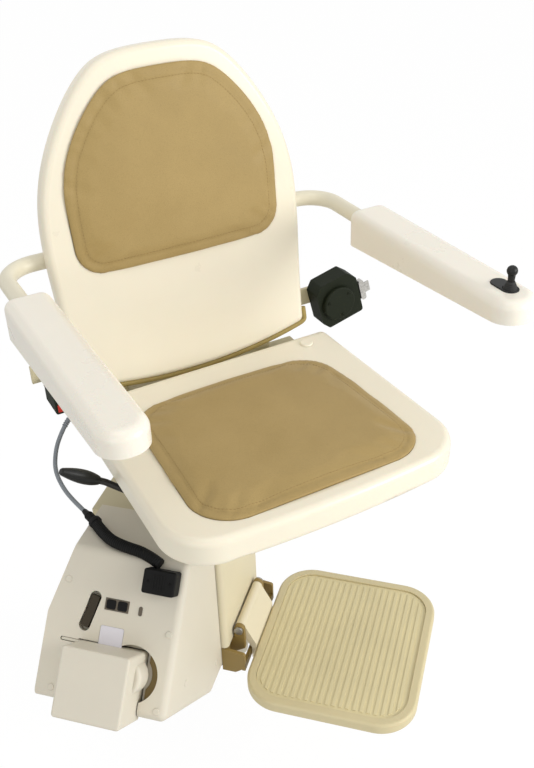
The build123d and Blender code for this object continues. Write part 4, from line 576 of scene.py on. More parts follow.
# Painted shade: this brown crescent stands for the shadow in the hollow beside the bumper.
HOLLOW_SHADE_BROWN = moulded("painted_hollow_shade", (132, 114, 78), 0.8, drift=0.05, grain=0.5, crease_shade=0.2, shine=0.2)
HOLLOW_MIDDLE = Vector((0.180, -0.036, -0.014))
SHADE_CRESCENT_THICK = 0.003
SHADE_CRESCENT_OUTER = 0.0412
SHADE_CRESCENT_INNER = 0.0300
arc = [(SHADE_CRESCENT_OUTER, math.radians(a)) for a in range(-56, 57, 8)]
arc += [(SHADE_CRESCENT_INNER, math.radians(a)) for a in range(40, -41, -8)]
crescent = bmesh.new()
faces = []
for height in (0.0, SHADE_CRESCENT_THICK):
    outline = [Vector((r * math.cos(a), r * math.sin(a), height)) for r, a in arc]
    faces.append([crescent.verts.new(HOLLOW_MIDDLE + point) for point in outline])
closed_skin(crescent, faces, False)
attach(piece_of(crescent, "bumper_foam", HOLLOW_SHADE_BROWN, END_PLACE), "carriage")

# ---------------------------------------------------------------- blank plate and service catch
# A plain pale plate stuck in a shallow recess of the end cover, with nothing on it,
# and the beige tab of the catch that fills the slot beside it.


def tablet(name, size, heights, at, material, bevel=0.0004):
    """A flat plate on the end cover: its width, height and corner radius, its two levels and its middle."""
    wide, tall, corner = size
    low, high = heights
    shape = bmesh.new()
    outline = []
    for sx, sy, turn in ((1, 1, 0), (-1, 1, 90), (-1, -1, 180), (1, -1, 270)):
        for step in range(7):
            angle = math.radians(turn + 15 * step)
            outline.append((sx * (wide / 2 - corner) + corner * math.cos(angle),
                            sy * (tall / 2 - corner) + corner * math.sin(angle)))
    rims = []
    for inset, z in ((0.0, low), (0.0, high - bevel), (bevel, high)):
        shrink_x = 1 - inset / (wide / 2)
        shrink_y = 1 - inset / (tall / 2)
        rims.append([shape.verts.new((x * shrink_x, y * shrink_y, z)) for x, y in outline])
    closed_skin(shape, rims, False)
    plate = piece_of(shape, name, material, END_PLACE @ Matrix.Translation((*at, 0)))
    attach(plate, "carriage")


PLATE_PALE = moulded("plate_pale", (226, 223, 230), 0.35, drift=0.02, grain=0.03, crease_shade=0.1, coat=0.2)
tablet("blank_plate", (0.037, 0.032, 0.0027), (-0.0010, -0.0003), (0.141, 0.009),
       PLATE_PALE, 0.0002)
tablet("catch_tab", (0.0345, 0.0048, 0.0022), (-0.0060, -0.0012), (0.080, -0.005),
       COVER_BEIGE, 0.0008)

# ---------------------------------------------------------------- display, lamp and isolating switch
# Two dark windows and a small lamp in a grey-brown surround, behind openings of the end cover,
# and the brown rocker of the isolating switch in its slanted well.
SURROUND_BROWN = moulded("surround_brown", (92, 82, 66), 0.45, grain=0.1)
ROCKER_BROWN = moulded("rocker_brown", (52, 43, 26), 0.45, grain=0.08, shine=0.3)
WINDOW_DARK = moulded("window_dark", (9, 9, 9), 0.22, drift=0.02, grain=0.0, crease_shade=0.0, shine=0.15)
dress(SURROUND_BROWN, "end_windows")
dress(ROCKER_BROWN, "isolator_rocker")
for name, x in (("window_left", 0.1335), ("window_right", 0.1515)):
    tablet(name, (0.0150, 0.0140, 0.0030), (0.0004, 0.0016), (x, 0.057), WINDOW_DARK, 0.0006)

# ---------------------------------------------------------------- cable plug
# The chunky black plug in its socket high on the end cover: a glass-filled nylon body with finger ribs,
# closed by two small screws and pushed in by hand.
PLUG_BLACK = moulded("plug_black", (11, 11, 10), 0.6, grain=0.35, crease_shade=0.0, shine=0.2)
PLUG_UP = 0.104
RIB_PITCH = 0.004


def ramp(tree, *stops):
    """A colour ramp between two stops, each a position and a colour."""
    made = add(tree, "ShaderNodeValToRGB")
    for element, (position, colour) in zip(made.color_ramp.elements, stops):
        element.position = position
        element.color = shown_as(*colour)
    return made


dress(PLUG_BLACK, "cable_plug")
SCREW_STEEL, tree, shader = new_material("screw_steel")
set_inputs(shader, {"Metallic": 1.0})
where = add(tree, "ShaderNodeTexCoord")
speck = add(tree, "ShaderNodeTexNoise", {"Scale": 420.0, "Detail": 4.0})
tint = ramp(tree, (0.0, (120, 118, 112)), (1.0, (186, 184, 176)))
dull = ranged(tree, 0.0, 1.0, 0.25, 0.5)
link(
    tree,
    (where, "Object", speck, "Vector"),
    (speck, "Fac", tint, "Fac"),
    (tint, "Color", shader, "Base Color"),
    (speck, "Fac", dull, "Value"),
    (dull, "Result", shader, "Roughness"),
)
plug_screws = [END_PLACE @ Vector((x, PLUG_UP, 0.08)) for x in (0.192, 0.226)]
fixings("plug_screws", "cable_plug", plug_screws, END_INWARDS, (0.0024, 0.0011, 0.0008),
        PLUG_BLACK, "carriage")
for rib in range(5):
    tablet("plug_rib_%d" % (rib + 1), (0.0016, 0.022, 0.0007), (0.0255, 0.0268),
           (0.201 + rib * RIB_PITCH, PLUG_UP), PLUG_BLACK)

# ---------------------------------------------------------------- column
# The tall cream cover over the steel post that carries the seat: an ABS moulding with a satin skin,
# held by the end covers' returned edges.
COLUMN_CREAM = moulded("column_cream", (224, 214, 184), 0.45, drift=0.025, grain=0.12, crease_shade=0.25, soft=0.02)
dress(COLUMN_CREAM, "column_cover")

# ---------------------------------------------------------------- post and swivel
# Inside the column a folded steel post, powder coated black, with the turned swivel post that stands in it
# on bronze bushes, and the zinc-plated index plate with its latch holes. The post's machined head is
# sprayed cream with the seat frame.


def painted(name, colour, bare, roughness, wear=0.35, grain=0.2):
    """Sprayed or powder-coated metal: orange peel in the surface, and the metal showing at rubbed edges."""
    material, tree, shader = new_material(name)
    where = add(tree, "ShaderNodeTexCoord")
    cloud = add(tree, "ShaderNodeTexNoise", {"Scale": 40.0, "Detail": 6.0})
    peel = add(tree, "ShaderNodeTexNoise", {"Scale": 700.0, "Detail": 2.0})
    bump = add(tree, "ShaderNodeBump", {"Strength": grain, "Distance": 0.0003})
    edge = add(tree, "ShaderNodeBevel", {"Radius": 0.0012}, samples=4)
    face = add(tree, "ShaderNodeNewGeometry")
    turn = add(tree, "ShaderNodeVectorMath", operation="DOT_PRODUCT")
    rubbed = ranged(tree, 0.97, 0.80, 0.0, 1.0)
    patchy = ranged(tree, 0.42, 0.62, 0.0, wear)
    worn = add(tree, "ShaderNodeMath", operation="MULTIPLY")
    shade = add(tree, "ShaderNodeMixRGB", {"Color1": shown_as(*colour), "Color2": shown_as(*bare)})
    gloss = ranged(tree, 0.3, 0.7, roughness - 0.05, roughness + 0.08)
    link(
        tree,
        (where, "Object", cloud, "Vector"),
        (where, "Object", peel, "Vector"),
        (peel, "Fac", bump, "Height"),
        (bump, "Normal", shader, "Normal"),
        (edge, "Normal", turn, 0),
        (face, "Normal", turn, 1),
        (turn, "Value", rubbed, "Value"),
        (cloud, "Fac", patchy, "Value"),
        (rubbed, "Result", worn, 0),
        (patchy, "Result", worn, 1),
        (worn, 0, shade, "Fac"),
        (shade, "Color", shader, "Base Color"),
        (cloud, "Fac", gloss, "Value"),
        (gloss, "Result", shader, "Roughness"),
    )
    return material


def machined(name, dark, bright, low, high, stretch=(1.0, 1.0, 1.0), scale=260.0, pit=0.0):
    """Bare or plated metal: tool marks drawn out along one axis in tone, gloss and surface."""
    material, tree, shader = new_material(name)
    set_inputs(shader, {"Metallic": 1.0})
    where = add(tree, "ShaderNodeTexCoord")
    drawn = add(tree, "ShaderNodeMapping", {"Scale": stretch})
    marks = add(tree, "ShaderNodeTexNoise", {"Scale": scale, "Detail": 5.0})
    blotch = add(tree, "ShaderNodeTexVoronoi", {"Scale": 130.0})
    both = add(tree, "ShaderNodeMath", {1: 0.25}, operation="MULTIPLY_ADD")
    tint = ramp(tree, (0.35, dark), (0.75, bright))
    gloss = ranged(tree, 0.0, 1.0, low, high)
    bump = add(tree, "ShaderNodeBump", {"Strength": 0.1 + pit, "Distance": 0.0002})
    link(
        tree,
        (where, "Object", drawn, "Vector"),
        (drawn, "Vector", marks, "Vector"),
        (where, "Object", blotch, "Vector"),
        (blotch, "Distance", both, 0),
        (marks, "Fac", both, 2),
        (both, 0, tint, "Fac"),
        (tint, "Color", shader, "Base Color"),
        (both, 0, gloss, "Value"),
        (gloss, "Result", shader, "Roughness"),
        (marks, "Fac", bump, "Height"),
        (bump, "Normal", shader, "Normal"),
    )
    return material


FRAME_BLACK = painted("frame_black", (38, 36, 34), (120, 118, 114), 0.46)
BARE_STEEL = machined("bare_steel", (140, 138, 134), (200, 198, 194), 0.2, 0.4, (1.0, 1.0, 8.0))
ZINC_PLATE = machined("zinc_plate", (150, 150, 148), (196, 196, 194), 0.32, 0.55, pit=0.1)
BUSH_BRONZE = machined("bush_bronze", (140, 100, 52), (196, 152, 88), 0.25, 0.45)
dress(FRAME_BLACK, "column_post")
dress(BARE_STEEL, "swivel_post")
dress(ZINC_PLATE, "index_plate")
dress(BUSH_BRONZE, "swivel_bushes")

# ---------------------------------------------------------------- chassis, rollers and drive
# The zinc-plated plate that everything hangs on, its four turned axles with nylon rollers that grip the
# rail, and the worm gearbox, motor and pinion. The plate's edge is held by cross-head bolts.
ROLLER_NYLON = moulded("roller_nylon", (224, 221, 210), 0.42, drift=0.02, grain=0.05, soft=0.1, crease_shade=0.35)
CAST_ALLOY = machined("cast_alloy", (128, 126, 122), (172, 170, 166), 0.5, 0.7, scale=500.0, pit=0.35)
dress(ZINC_PLATE, "chassis_plate", "battery_tray", "bumper_guides")
dress(BARE_STEEL, "roller_axles", "drive_pinion")
dress(CAST_ALLOY, "gearbox")
dress(FRAME_BLACK, "drive_motor")
dress(ROLLER_NYLON, "roller_1", "roller_2", "roller_3", "roller_4")
plate_bolts = [
    (-0.200, 0.050), (-0.150, -0.080), (0.100, -0.080), (0.100, 0.070), (0.150, -0.080), (0.150, 0.070),
]
fixings("plate_bolts", "chassis_plate", [on_rail(along, up, 0.2) for along, up in plate_bolts], (0, -1, 0),
        (0.0062, 0.0036, 0.0022), SCREW_STEEL, "carriage", 3)

# ---------------------------------------------------------------- bumper springs
# Two coil springs of bright steel wire behind each bumper, slipped over its guide rods.
for side, outwards in (("uphill", -1), ("downhill", 1)):
    coils = nodes[side + "_bumper_springs"].data.copy()
    coils.materials.clear()
    coils.materials.append(BARE_STEEL)
    springs = linked(side + "_springs", coils)
    rail_way = Vector(on_rail(outwards, 0, 0))
    middle = sum((v.co for v in coils.vertices), Vector()) / len(coils.vertices)
    middle -= rail_way * middle.dot(rail_way)
    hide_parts(side + "_bumper_springs")
    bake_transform(springs)

# ---------------------------------------------------------------- batteries and control board
# Two sealed lead-acid batteries in black cases, strapped in the zinc-plated tray,
# and the green control board on its pillars.
BATTERY_BLACK = moulded("battery_black", (46, 46, 48), 0.5, grain=0.2)
BOARD_GREEN = moulded("board_green", (38, 100, 60), 0.32, drift=0.06, grain=0.1, coat=0.3)
dress(BATTERY_BLACK, "batteries")
dress(BOARD_GREEN, "control_board")

# ---------------------------------------------------------------- footrest
# A khaki moulded tray with a ribbed rubber mat, screwed to a cream cast leaf that folds up on a pin
# between the lugs of a steel bracket at the column's foot, coloured a dark khaki-brown as painted shade.
FOOTREST_KHAKI = moulded("footrest_khaki", (214, 201, 160), 0.46, drift=0.03, grain=0.15, crease_shade=0.1, soft=0.02)
MAT_KHAKI = moulded("mat_khaki", (223, 211, 168), 0.62, drift=0.06, grain=0.3, grain_size=0.0006, crease_shade=0.0)
HINGE_CREAM = painted("hinge_cream", (232, 222, 194), (170, 160, 140), 0.4, wear=0.25)
# Painted shade: the bracket's dark khaki-brown stands for the shade it sits in under the footrest.
BRACKET_SHADE_BROWN = painted("bracket_brown", (146, 122, 66), (150, 140, 120), 0.5)
dress(FOOTREST_KHAKI, "footrest_shell")
dress(MAT_KHAKI, "footrest_mat")
dress(HINGE_CREAM, "footrest_leaf")
dress(BRACKET_SHADE_BROWN, "footrest_bracket")
dress(BARE_STEEL, "footrest_hinge_pin")
leaf_screws = [(0.095 + x, y, -0.30) for x in (-0.038, 0.038) for y in (-0.312, -0.342)]
fixings("leaf_screws", "footrest_leaf", leaf_screws, (0, 0, 1), (0.0046, 0.0024, 0.0016),
        SCREW_STEEL, "footrest", 5)

# ---------------------------------------------------------------- seat frame and back frame
# Welded square tube, sprayed cream: the seat's rails with the swivel plate, and the uprights behind the
# back with the belt bar. The seat rests on four rubber stops and turns up on two steel pins. Its lead goes
# into the end of the bar under the back, through a long ribbed boot.
SEAT_PLACE = (Matrix.Translation((0.095, -0.278, 0.415)) @ Matrix.Rotation(math.radians(-45), 4, "Z")
              @ Matrix.Translation((0, 0.045, 0)))
BAR_END = SEAT_PLACE @ Vector((-0.188, 0.1351, -0.0465))
FRAME_CREAM = painted("frame_cream", (206, 196, 162), (150, 144, 128), 0.45, wear=0.25)
STOP_RUBBER = moulded("stop_rubber", (38, 38, 37), 0.72, grain=0.4, crease_shade=0.1)
dress(FRAME_CREAM, "seat_frame", "back_frame", "post_head")
dress(STOP_RUBBER, "seat_stops")
dress(BARE_STEEL, "seat_hinge_pins")
lead_end = Vector(CABLE_ROUTE[0])
lead_run = (lead_end - Vector(CABLE_ROUTE[1])).normalized()
bar_run = SEAT_PLACE.to_3x3() @ Vector((-1, 0, 0))
boot_line, _ = route_line("boot_line", [
    lead_end - lead_run * 0.004, lead_end + lead_run * 0.012,
    BAR_END + bar_run * 0.018, BAR_END - bar_run * 0.003,
])
lead_boot = sheathed("lead_boot", boot_line, 0.0042, 0.0005, CABLE_GREY, 0.0005, 0.0038)
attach(lead_boot, "seat_frame")

# ---------------------------------------------------------------- seat pan and backrest shells
# Large glossy cream mouldings: the seat pan with two round caps, screwed to a black board from below, and
# the backrest shell with its screwed rear panel. A khaki strip along the back's lower edge, over the gap
# behind the seat, is painted shade: it stands for the shadow line in that gap.
SEAT_CREAM = moulded("seat_cream", (240, 232, 211), 0.32, drift=0.015, grain=0.06, crease_shade=0.2, coat=0.15,
                     soft=0.05)
SEAT_BOARD = moulded("seat_board", (42, 41, 38), 0.6, drift=0.08, grain=0.3)
BACK_PLACE = SEAT_PLACE @ Matrix.Translation((0, 0.1196, 0)) @ Matrix.Rotation(math.radians(90 - 8.3), 4, "X")
PANEL_SCREW = (0.0042, 0.0020, 0.0014)
dress(SEAT_CREAM, "seat_shell", "seat_caps", "back_shell", "back_cover")
dress(SEAT_BOARD, "seat_base")
board_screws = []
for across, along in ((0.180, -0.245), (0.195, -0.110), (0.190, 0.020)):
    board_screws += [(-across, along), (across, along)]
board_screws += [(0.0, -0.275), (0.0, 0.040)]
fixings("board_screws", "seat_base", [SEAT_PLACE @ Vector((x, y, -0.2)) for x, y in board_screws], (0, 0, 1),
        PANEL_SCREW, SCREW_STEEL, "seat", 7)
back_screws = []
for across, up in ((0.172, 0.050), (0.170, 0.220), (0.146, 0.350)):
    back_screws += [(-across, up), (across, up)]
back_screws += [(0.0, 0.455), (0.0, 0.030)]
fixings("back_screws", "back_cover", [BACK_PLACE @ Vector((x, y, -0.12)) for x, y in back_screws],
        BACK_PLACE.to_3x3() @ Vector((0, 0, 1)), PANEL_SCREW, SCREW_STEEL, "seat_frame", 9)

# Painted shade: this khaki strip stands for the shadow line between the back's lower edge and the seat.
GAP_SHADOW_KHAKI = moulded("painted_gap_shadow", (158, 138, 78), 0.6, grain=0.3, crease_shade=0.2)
EDGE_RADIUS = 0.8055
EDGE_DROP = 0.0225
edge_half = [(x, EDGE_RADIUS - math.sqrt(EDGE_RADIUS ** 2 - x ** 2) - EDGE_DROP)
             for x in (0.0, 0.032, 0.064, 0.096, 0.128, 0.160, 0.188)]
edge_half += [(0.2052, 0.0045), (0.2052, 0.014), (0.2045, 0.028)]
edge_points = [(-x, y) for x, y in reversed(edge_half[1:])] + edge_half
edge_line, _ = route_line("edge_line", [BACK_PLACE @ Vector((x, y, -0.0065)) for x, y in edge_points])
back_edging = sheathed("back_edging", edge_line, 0.0048, 0.002, GAP_SHADOW_KHAKI)
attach(back_edging, "seat_frame")

# ---------------------------------------------------------------- cushions
# Foam on a board under tan leathercloth, pressed into a shallow recess of each shell. The cover is pulled
# down round the edge and top-stitched along a sunk seam a finger's width in from it.
OUTLINE_STEPS = 240
FOAM_DRAWN_IN = 0.991
FOAM_CROWN = 0.72
FOAM_GRID = 0.005
PUFF_LIMIT = 0.0055
EDGE_PUSH = 0.0055
WALL_GAP = 0.0004
LAP_OVER = 0.0018
FOAM_FLOOR = -0.0037
COVER_RIPPLE = 0.0005
SEAM_IN = 0.0125
SEAM_DEPTH = 0.0016
SEAM_HALF = 0.0026
STITCH_PITCH = 0.0052
THREAD_IN = 0.0035
THREAD_THICK = 0.0004


def leathercloth(name, dark, light):
    """Calendered vinyl: a net of fine creases, and a soft mottle of tone and gloss."""
    material, tree, shader = new_material(name)
    where = add(tree, "ShaderNodeTexCoord")
    cells = add(tree, "ShaderNodeTexVoronoi", {"Scale": 560.0}, feature="DISTANCE_TO_EDGE")
    wander = add(tree, "ShaderNodeTexNoise", {"Scale": 90.0})
    bent = add(tree, "ShaderNodeMixRGB", {"Fac": 0.004}, blend_type="ADD")
    cloud = add(tree, "ShaderNodeTexNoise", {"Scale": 11.0, "Detail": 7.0, "Roughness": 0.62})
    tone = ramp(tree, (0.32, dark), (0.70, light))
    pores = ranged(tree, 0.0, 0.12, 0.86, 1.0)
    skin = add(tree, "ShaderNodeMixRGB", {"Fac": 1.0}, blend_type="MULTIPLY")
    gloss = ranged(tree, 0.3, 0.7, 0.5, 0.66)
    bump = add(tree, "ShaderNodeBump", {"Strength": 0.45, "Distance": 0.0004})
    link(
        tree,
        (where, "Object", wander, "Vector"),
        (where, "Object", bent, "Color1"),
        (wander, "Color", bent, "Color2"),
        (bent, "Color", cells, "Vector"),
        (where, "Object", cloud, "Vector"),
        (cloud, "Fac", tone, "Fac"),
        (cells, "Distance", pores, "Value"),
        (tone, "Color", skin, "Color1"),
        (pores, "Result", skin, "Color2"),
        (skin, "Color", shader, "Base Color"),
        (cloud, "Fac", gloss, "Value"),
        (gloss, "Result", shader, "Roughness"),
        (cells, "Distance", bump, "Height"),
        (bump, "Normal", shader, "Normal"),
    )
    set_inputs(shader, {"Sheen Weight": 0.12, "Sheen Roughness": 0.45, "Specular IOR Level": 0.35})
    return material


def stitch_tree():
    """Short stitches laid along a line at an even pitch, each a little different in length."""
    tree, sockets, given, result = node_group("stitches", "Stitches", (
        ("Seam", "Geometry"),
        ("Pitch", "Float"),
        ("Length", "Float"),
        ("Thread", "Float"),
        ("Seed", "Int"),
        ("Finish", "Material"),
    ))
    even = add(tree, "GeometryNodeResampleCurve", mode="LENGTH")
    tangent = add(tree, "GeometryNodeInputTangent")
    square = add(tree, "FunctionNodeAlignRotationToVector", axis="X")
    bead = add(tree, "GeometryNodeMeshUVSphere", {"Segments": 8, "Rings": 6, "Radius": 1.0})
    chance = add(tree, "FunctionNodeRandomValue", {2: 0.42, 3: 0.52}, data_type="FLOAT")
    long = add(tree, "ShaderNodeMath", operation="MULTIPLY")
    size = add(tree, "ShaderNodeCombineXYZ")
    copies = add(tree, "GeometryNodeInstanceOnPoints")
    real = add(tree, "GeometryNodeRealizeInstances")
    smooth = add(tree, "GeometryNodeSetShadeSmooth")
    skin = add(tree, "GeometryNodeSetMaterial")
    link(
        tree,
        (given, "Seam", even, "Curve"),
        (given, "Pitch", even, "Length"),
        (tangent, "Tangent", square, "Vector"),
        (given, "Seed", chance, "Seed"),
        (chance, 1, long, 0),
        (given, "Length", long, 1),
        (long, 0, size, "X"),
        (given, "Thread", size, "Y"),
        (given, "Thread", size, "Z"),
        (even, "Curve", copies, "Points"),
        (bead, "Mesh", copies, "Instance"),
        (square, "Rotation", copies, "Rotation"),
        (size, "Vector", copies, "Scale"),
        (copies, "Instances", real, "Geometry"),
        (real, "Geometry", smooth, "Geometry"),
        (smooth, "Geometry", skin, "Geometry"),
        (given, "Finish", skin, "Material"),
        (skin, "Geometry", result, "Stitches"),
    )
    return tree, sockets


STITCHES, STITCH_SIZES = stitch_tree()
VINYL_TAN = leathercloth("vinyl_tan", (167, 142, 88), (175, 150, 97))
THREAD_TAN = moulded("thread_tan", (150, 124, 74), 0.7, grain=0.5, grain_size=0.0003)


def share_of(value, full):
    """The value's share of full, held between nought and one."""
    return min(max(value / full, 0.0), 1.0)


def outline_of(surface, middle):
    """How far the pad reaches from its middle in every direction, at the level of the shell's face."""
    reach = []
    for k in range(OUTLINE_STEPS):
        angle = 2 * math.pi * k / OUTLINE_STEPS
        way = Vector((math.cos(angle), math.sin(angle), 0))
        _, _, _, far = surface.ray_cast(middle, way)
        reach.append(far)
    return reach


def reach_at(reach, x, y):
    """The pad's reach in the direction of a point given from its middle."""
    turn = (math.atan2(y, x) / (2 * math.pi) % 1.0) * OUTLINE_STEPS
    low = int(turn) % OUTLINE_STEPS
    part = turn - int(turn)
    return reach[low] * (1 - part) + reach[(low + 1) % OUTLINE_STEPS] * part


def inset_ring(reach, middle, inset):
    """The pad's outline, moved in square to itself."""
    edge = []
    for k, far in enumerate(reach):
        angle = 2 * math.pi * k / OUTLINE_STEPS
        edge.append(Vector((middle.x + far * math.cos(angle), middle.y + far * math.sin(angle), 0)))
    ring = []
    for k, point in enumerate(edge):
        run = (edge[(k + 3) % OUTLINE_STEPS] - edge[k - 3]).normalized()
        ring.append(point + Vector((-run.y, run.x, 0)) * inset)
    return ring


def foam_of(name, node_name, place):
    """The pad's solid on an even grid, flat in its own frame, with its middle and its outline."""
    foam = bmesh.new()
    foam.from_mesh(nodes[node_name].data)
    bmesh.ops.remove_doubles(foam, verts=foam.verts, dist=1e-5)
    bmesh.ops.transform(foam, matrix=place.inverted(), verts=foam.verts)
    xs = [v.co.x for v in foam.verts]
    ys = [v.co.y for v in foam.verts]
    middle = Vector(((min(xs) + max(xs)) / 2, (min(ys) + max(ys)) / 2, 0))
    reach = outline_of(BVHTree.FromBMesh(foam), middle)
    for v in foam.verts:
        v.co.x = middle.x + (v.co.x - middle.x) * FOAM_DRAWN_IN
        v.co.y = middle.y + (v.co.y - middle.y) * FOAM_DRAWN_IN
        if v.co.z > 0:
            v.co.z *= FOAM_CROWN
    pad = piece_of(foam, name + "_start")
    even = pad.modifiers.new("even", "REMESH")
    even.mode = "VOXEL"
    even.voxel_size = FOAM_GRID
    return settled(pad, name), middle, reach


def stuff(pad):
    """Blows the pad up like stuffed cloth, held where it sits below the shell's face."""
    rest = [v.co.copy() for v in pad.data.vertices]
    held = pad.vertex_groups.new(name="held")
    for v in pad.data.vertices:
        held.add([v.index], share_of(0.0015 - v.co.z, 0.003), "REPLACE")
    cloth = pad.modifiers.new("cloth", "CLOTH").settings
    cloth.quality = 6
    cloth.mass = 0.3
    cloth.tension_stiffness = 12
    cloth.compression_stiffness = 12
    cloth.shear_stiffness = 5
    cloth.bending_stiffness = 3
    cloth.use_pressure = True
    cloth.uniform_pressure_force = 4
    cloth.vertex_group_mass = "held"
    cloth.effector_weights.gravity = 0
    for step in range(1, 21):
        scene.frame_set(step)
    swollen = mesh_now(pad)
    for v, puffed, start in zip(pad.data.vertices, swollen.vertices, rest):
        move = puffed.co - start
        if move.length > PUFF_LIMIT:
            move *= PUFF_LIMIT / move.length
        v.co = start + move
    pad.modifiers.clear()
    pad.vertex_groups.clear()
    bpy.data.meshes.remove(swollen)
    scene.frame_set(1)


def tailor(pad, middle, reach, seed):
    """Brings the edge out to the recess's wall with a lap over it, and sinks the seam in the face."""
    seam = inset_ring(reach, middle, SEAM_IN)
    for v in pad.data.vertices:
        x = v.co.x - middle.x
        y = v.co.y - middle.y
        far = math.hypot(x, y)
        wall = reach_at(reach, x, y)
        lap = LAP_OVER * share_of(v.co.z - 0.0006, 0.0012)
        pushed = far + EDGE_PUSH * share_of(far / wall - 0.90, 0.07)
        limit = min(pushed, wall - WALL_GAP + lap)
        if far > 0.01:
            v.co.x = middle.x + x * limit / far
            v.co.y = middle.y + y * limit / far
        v.co.z = max(v.co.z, FOAM_FLOOR)
        if v.co.z > 0.002:
            v.co.z += COVER_RIPPLE * noise.noise(Vector((v.co.x * 22, v.co.y * 22, seed)))
            turn = math.atan2(y, x) / (2 * math.pi) % 1.0 * OUTLINE_STEPS
            near = min((seam[(int(turn) + k) % OUTLINE_STEPS].xy - v.co.xy).length for k in range(-4, 6))
            v.co.z -= SEAM_DEPTH * math.exp(-((near / SEAM_HALF) ** 2))


def sewn(name, pad, ring, seed):
    """The thread of the seam, laid on the pad's face along a ring."""
    surface = surface_of(pad.data)
    curve = bpy.data.curves.new(name, "CURVE")
    curve.dimensions = "3D"
    spline = curve.splines.new("POLY")
    spline.points.add(len(ring) - 1)
    spline.use_cyclic_u = True
    for point, flat in zip(spline.points, ring):
        hit, _, _, _ = surface.ray_cast(Vector((flat.x, flat.y, 0.1)), Vector((0, 0, -1)))
        point.co = (flat.x, flat.y, hit.z + 0.0001, 1.0)
    line = linked(name + "_line", curve)
    run_tree(line, STITCHES, STITCH_SIZES, {
        "Pitch": STITCH_PITCH,
        "Length": STITCH_PITCH * 0.82,
        "Thread": THREAD_THICK,
        "Seed": seed,
        "Finish": THREAD_TAN,
    })
    return settled(line, name)


def upholstered(name, node_name, place, body, seed):
    """A cushion and its thread in the place of a pad's solid."""
    pad, middle, reach = foam_of(name, node_name, place)
    stuff(pad)
    finer = pad.modifiers.new("finer", "SUBSURF")
    finer.levels = 1
    finer.render_levels = 1
    pad = settled(pad, name)
    tailor(pad, middle, reach, seed)
    thread = sewn(name + "_thread", pad, inset_ring(reach, middle, SEAM_IN + THREAD_IN), seed)
    for piece in (pad, thread):
        piece.data.transform(place)
        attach(piece, body)
    for p in pad.data.polygons:
        p.use_smooth = True
    pad.data.materials.clear()
    pad.data.materials.append(VINYL_TAN)
    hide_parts(node_name)


upholstered("seat_cushion", "seat_pad", SEAT_PLACE, "seat", 3)
upholstered("back_cushion", "back_pad", BACK_PLACE, "seat_frame", 8)

# ---------------------------------------------------------------- arms
# Bent steel tubes in cream, turning in the back frame's sockets, each under a long off-white moulding
# like an upturned trough, which is pushed over the bar.
ARM_WHITE = moulded("arm_white", (244, 238, 224), 0.3, drift=0.015, grain=0.05, crease_shade=0.15, coat=0.2,
                    soft=0.05)
ARM_TUBE = painted("arm_tube", (230, 223, 200), (150, 146, 136), 0.35, wear=0.15, grain=0.1)
dress(ARM_WHITE, "left_arm_pad", "right_arm_pad")
dress(ARM_TUBE, "left_arm_bar", "right_arm_bar")

# ---------------------------------------------------------------- joystick
# The travel switch: a black stick with a round knob in an oval bezel, let into the arm's end, with a
# small rubber bellows that keeps dust out.
STICK_BLACK = moulded("stick_black", (18, 19, 18), 0.4, grain=0.08, crease_shade=0.0, shine=0.35)
STICK_PLACE = SEAT_PLACE @ Matrix.Translation((0.279, -0.283, 0))
FOLD_PITCH = 0.0022
FOLD_STEP_IN = 0.0009
dress(STICK_BLACK, "joystick", "joystick_bezel")
bellows_profile = [(0.0096, 0.2212), (0.0104, 0.2220), (0.0098, 0.2232)]
for fold in range(4):
    foot = 0.2238 + fold * FOLD_PITCH
    wide = 0.0094 - fold * FOLD_STEP_IN
    bellows_profile += [(wide - 0.0016, foot), (wide, foot + 0.0008), (wide - 0.0003, foot + 0.0014)]
bellows_profile += [(0.0056, 0.2330), (0.0052, 0.2342)]
bellows = turned("joystick_bellows", bellows_profile, STICK_PLACE, 32, STOP_RUBBER)
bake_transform(bellows)

# ---------------------------------------------------------------- swivel lever and latch
# A bent steel rod with a black spindle grip beside the seat: pressing it lifts the latch pin out of
# the index plate.
dress(FRAME_BLACK, "swivel_lever")
dress(STICK_BLACK, "lever_grip")
dress(BARE_STEEL, "latch_pin")

# ---------------------------------------------------------------- belt reel, webbing and tongue
# An inertia reel in a black nylon case with three case screws, and the end of the woven polyester
# webbing with its steel tongue parked in the case's mouth.
REEL_BLACK = moulded("reel_black", (22, 28, 13), 0.62, grain=0.5, grain_size=0.0012, crease_shade=0.0, shine=0.2)
REEL_LEAN = Matrix.Rotation(math.radians(-14), 4, "Y")
REEL_PLACE = SEAT_PLACE @ Matrix.Translation((0.284, 0.171, 0.014)) @ REEL_LEAN
SCREW_CIRCLE = 0.023
dress(REEL_BLACK, "belt_retractor")
dress(BARE_STEEL, "belt_tongue")
reel_screws = []
for turn in (30, 150, 270):
    across = SCREW_CIRCLE * math.cos(math.radians(turn))
    up = SCREW_CIRCLE * math.sin(math.radians(turn))
    reel_screws.append(REEL_PLACE @ Vector((-0.004 + across, -0.12, -0.002 + up)))
fixings("reel_screws", "belt_retractor", reel_screws, REEL_PLACE.to_3x3() @ Vector((0, 1, 0)),
        (0.0028, 0.0014, 0.0010), REEL_BLACK, "seat_frame", 11)

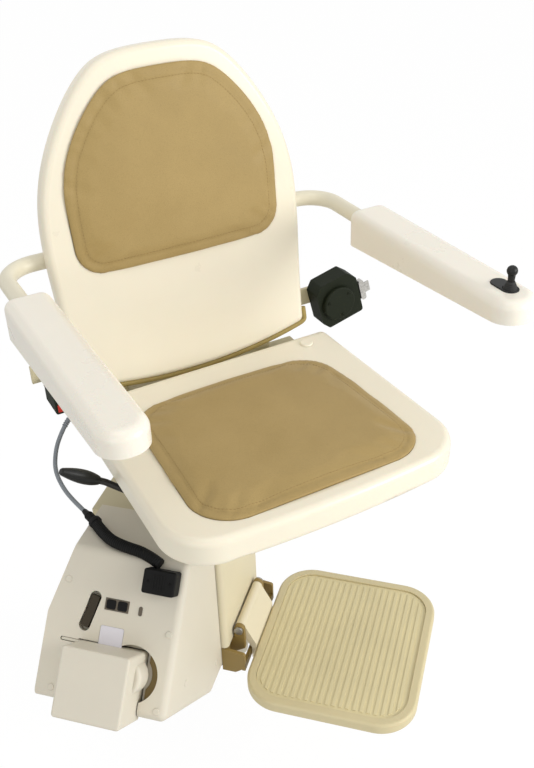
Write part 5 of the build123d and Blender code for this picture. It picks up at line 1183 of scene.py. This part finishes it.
WEBBING_BLACK, tree, shader = new_material("webbing_black")
cloth_map = add(tree, "ShaderNodeUVMap", uv_map="UVMap")
cords = add(tree, "ShaderNodeTexWave", {"Scale": 9.0}, bands_direction="X")
picks = add(tree, "ShaderNodeTexWave", {"Scale": 22.0}, bands_direction="DIAGONAL")
weave = add(tree, "ShaderNodeMath", operation="MULTIPLY")
tint = ramp(tree, (0.0, (22, 23, 22)), (1.0, (50, 52, 48)))
bump = add(tree, "ShaderNodeBump", {"Strength": 0.8, "Distance": 0.0005})
link(
    tree,
    (cloth_map, "UV", cords, "Vector"),
    (cloth_map, "UV", picks, "Vector"),
    (cords, "Fac", weave, 0),
    (picks, "Fac", weave, 1),
    (weave, 0, tint, "Fac"),
    (tint, "Color", shader, "Base Color"),
    (weave, 0, bump, "Height"),
    (bump, "Normal", shader, "Normal"),
)
set_inputs(shader, {"Roughness": 0.75, "Sheen Weight": 0.3})

WEB_WIDE = 0.036
WEB_LONG = 0.0235
WEB_THICK = 0.0013
WEB_COLUMNS = 28
WEB_ROWS = 18
strap = bmesh.new()
uv = strap.loops.layers.uv.new("UVMap")
grid = []
for j in range(WEB_ROWS + 1):
    line = []
    for i in range(WEB_COLUMNS + 1):
        u = i / WEB_COLUMNS
        v = j / WEB_ROWS
        across = -0.014 + (u - 0.5) * WEB_WIDE
        out = 0.0275 + v * WEB_LONG
        bow = -0.018 + 0.0006 * math.sin(math.pi * v * 1.6) + 0.00025 * math.cos(2 * math.pi * u * 9)
        line.append(strap.verts.new((out, bow, across)))
    grid.append(line)
for j in range(WEB_ROWS):
    for i in range(WEB_COLUMNS):
        corners = ((i, j), (i + 1, j), (i + 1, j + 1), (i, j + 1))
        face = strap.faces.new([grid[b][a] for a, b in corners])
        face.smooth = True
        for loop, (a, b) in zip(face.loops, corners):
            loop[uv].uv = (a / WEB_COLUMNS, b / WEB_ROWS * WEB_LONG / WEB_WIDE)
webbing = piece_of(strap, "webbing_flat", WEBBING_BLACK)
wall = webbing.modifiers.new("wall", "SOLIDIFY")
wall.thickness = WEB_THICK
wall.offset = 0.0
webbing = settled(webbing, "webbing")
webbing.data.transform(REEL_PLACE)
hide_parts("belt_webbing")
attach(webbing, "seat_frame")

# ---------------------------------------------------------------- belt buckle
# The buckle on its stiff stalk, bolted to the belt bar: a black nylon case like the reel's,
# with a red push button in its well.
BUTTON_RED = moulded("button_red", (184, 46, 34), 0.28, drift=0.03, grain=0.04, crease_shade=0.0, coat=0.4)
dress(REEL_BLACK, "belt_buckle")
dress(BUTTON_RED, "buckle_button")
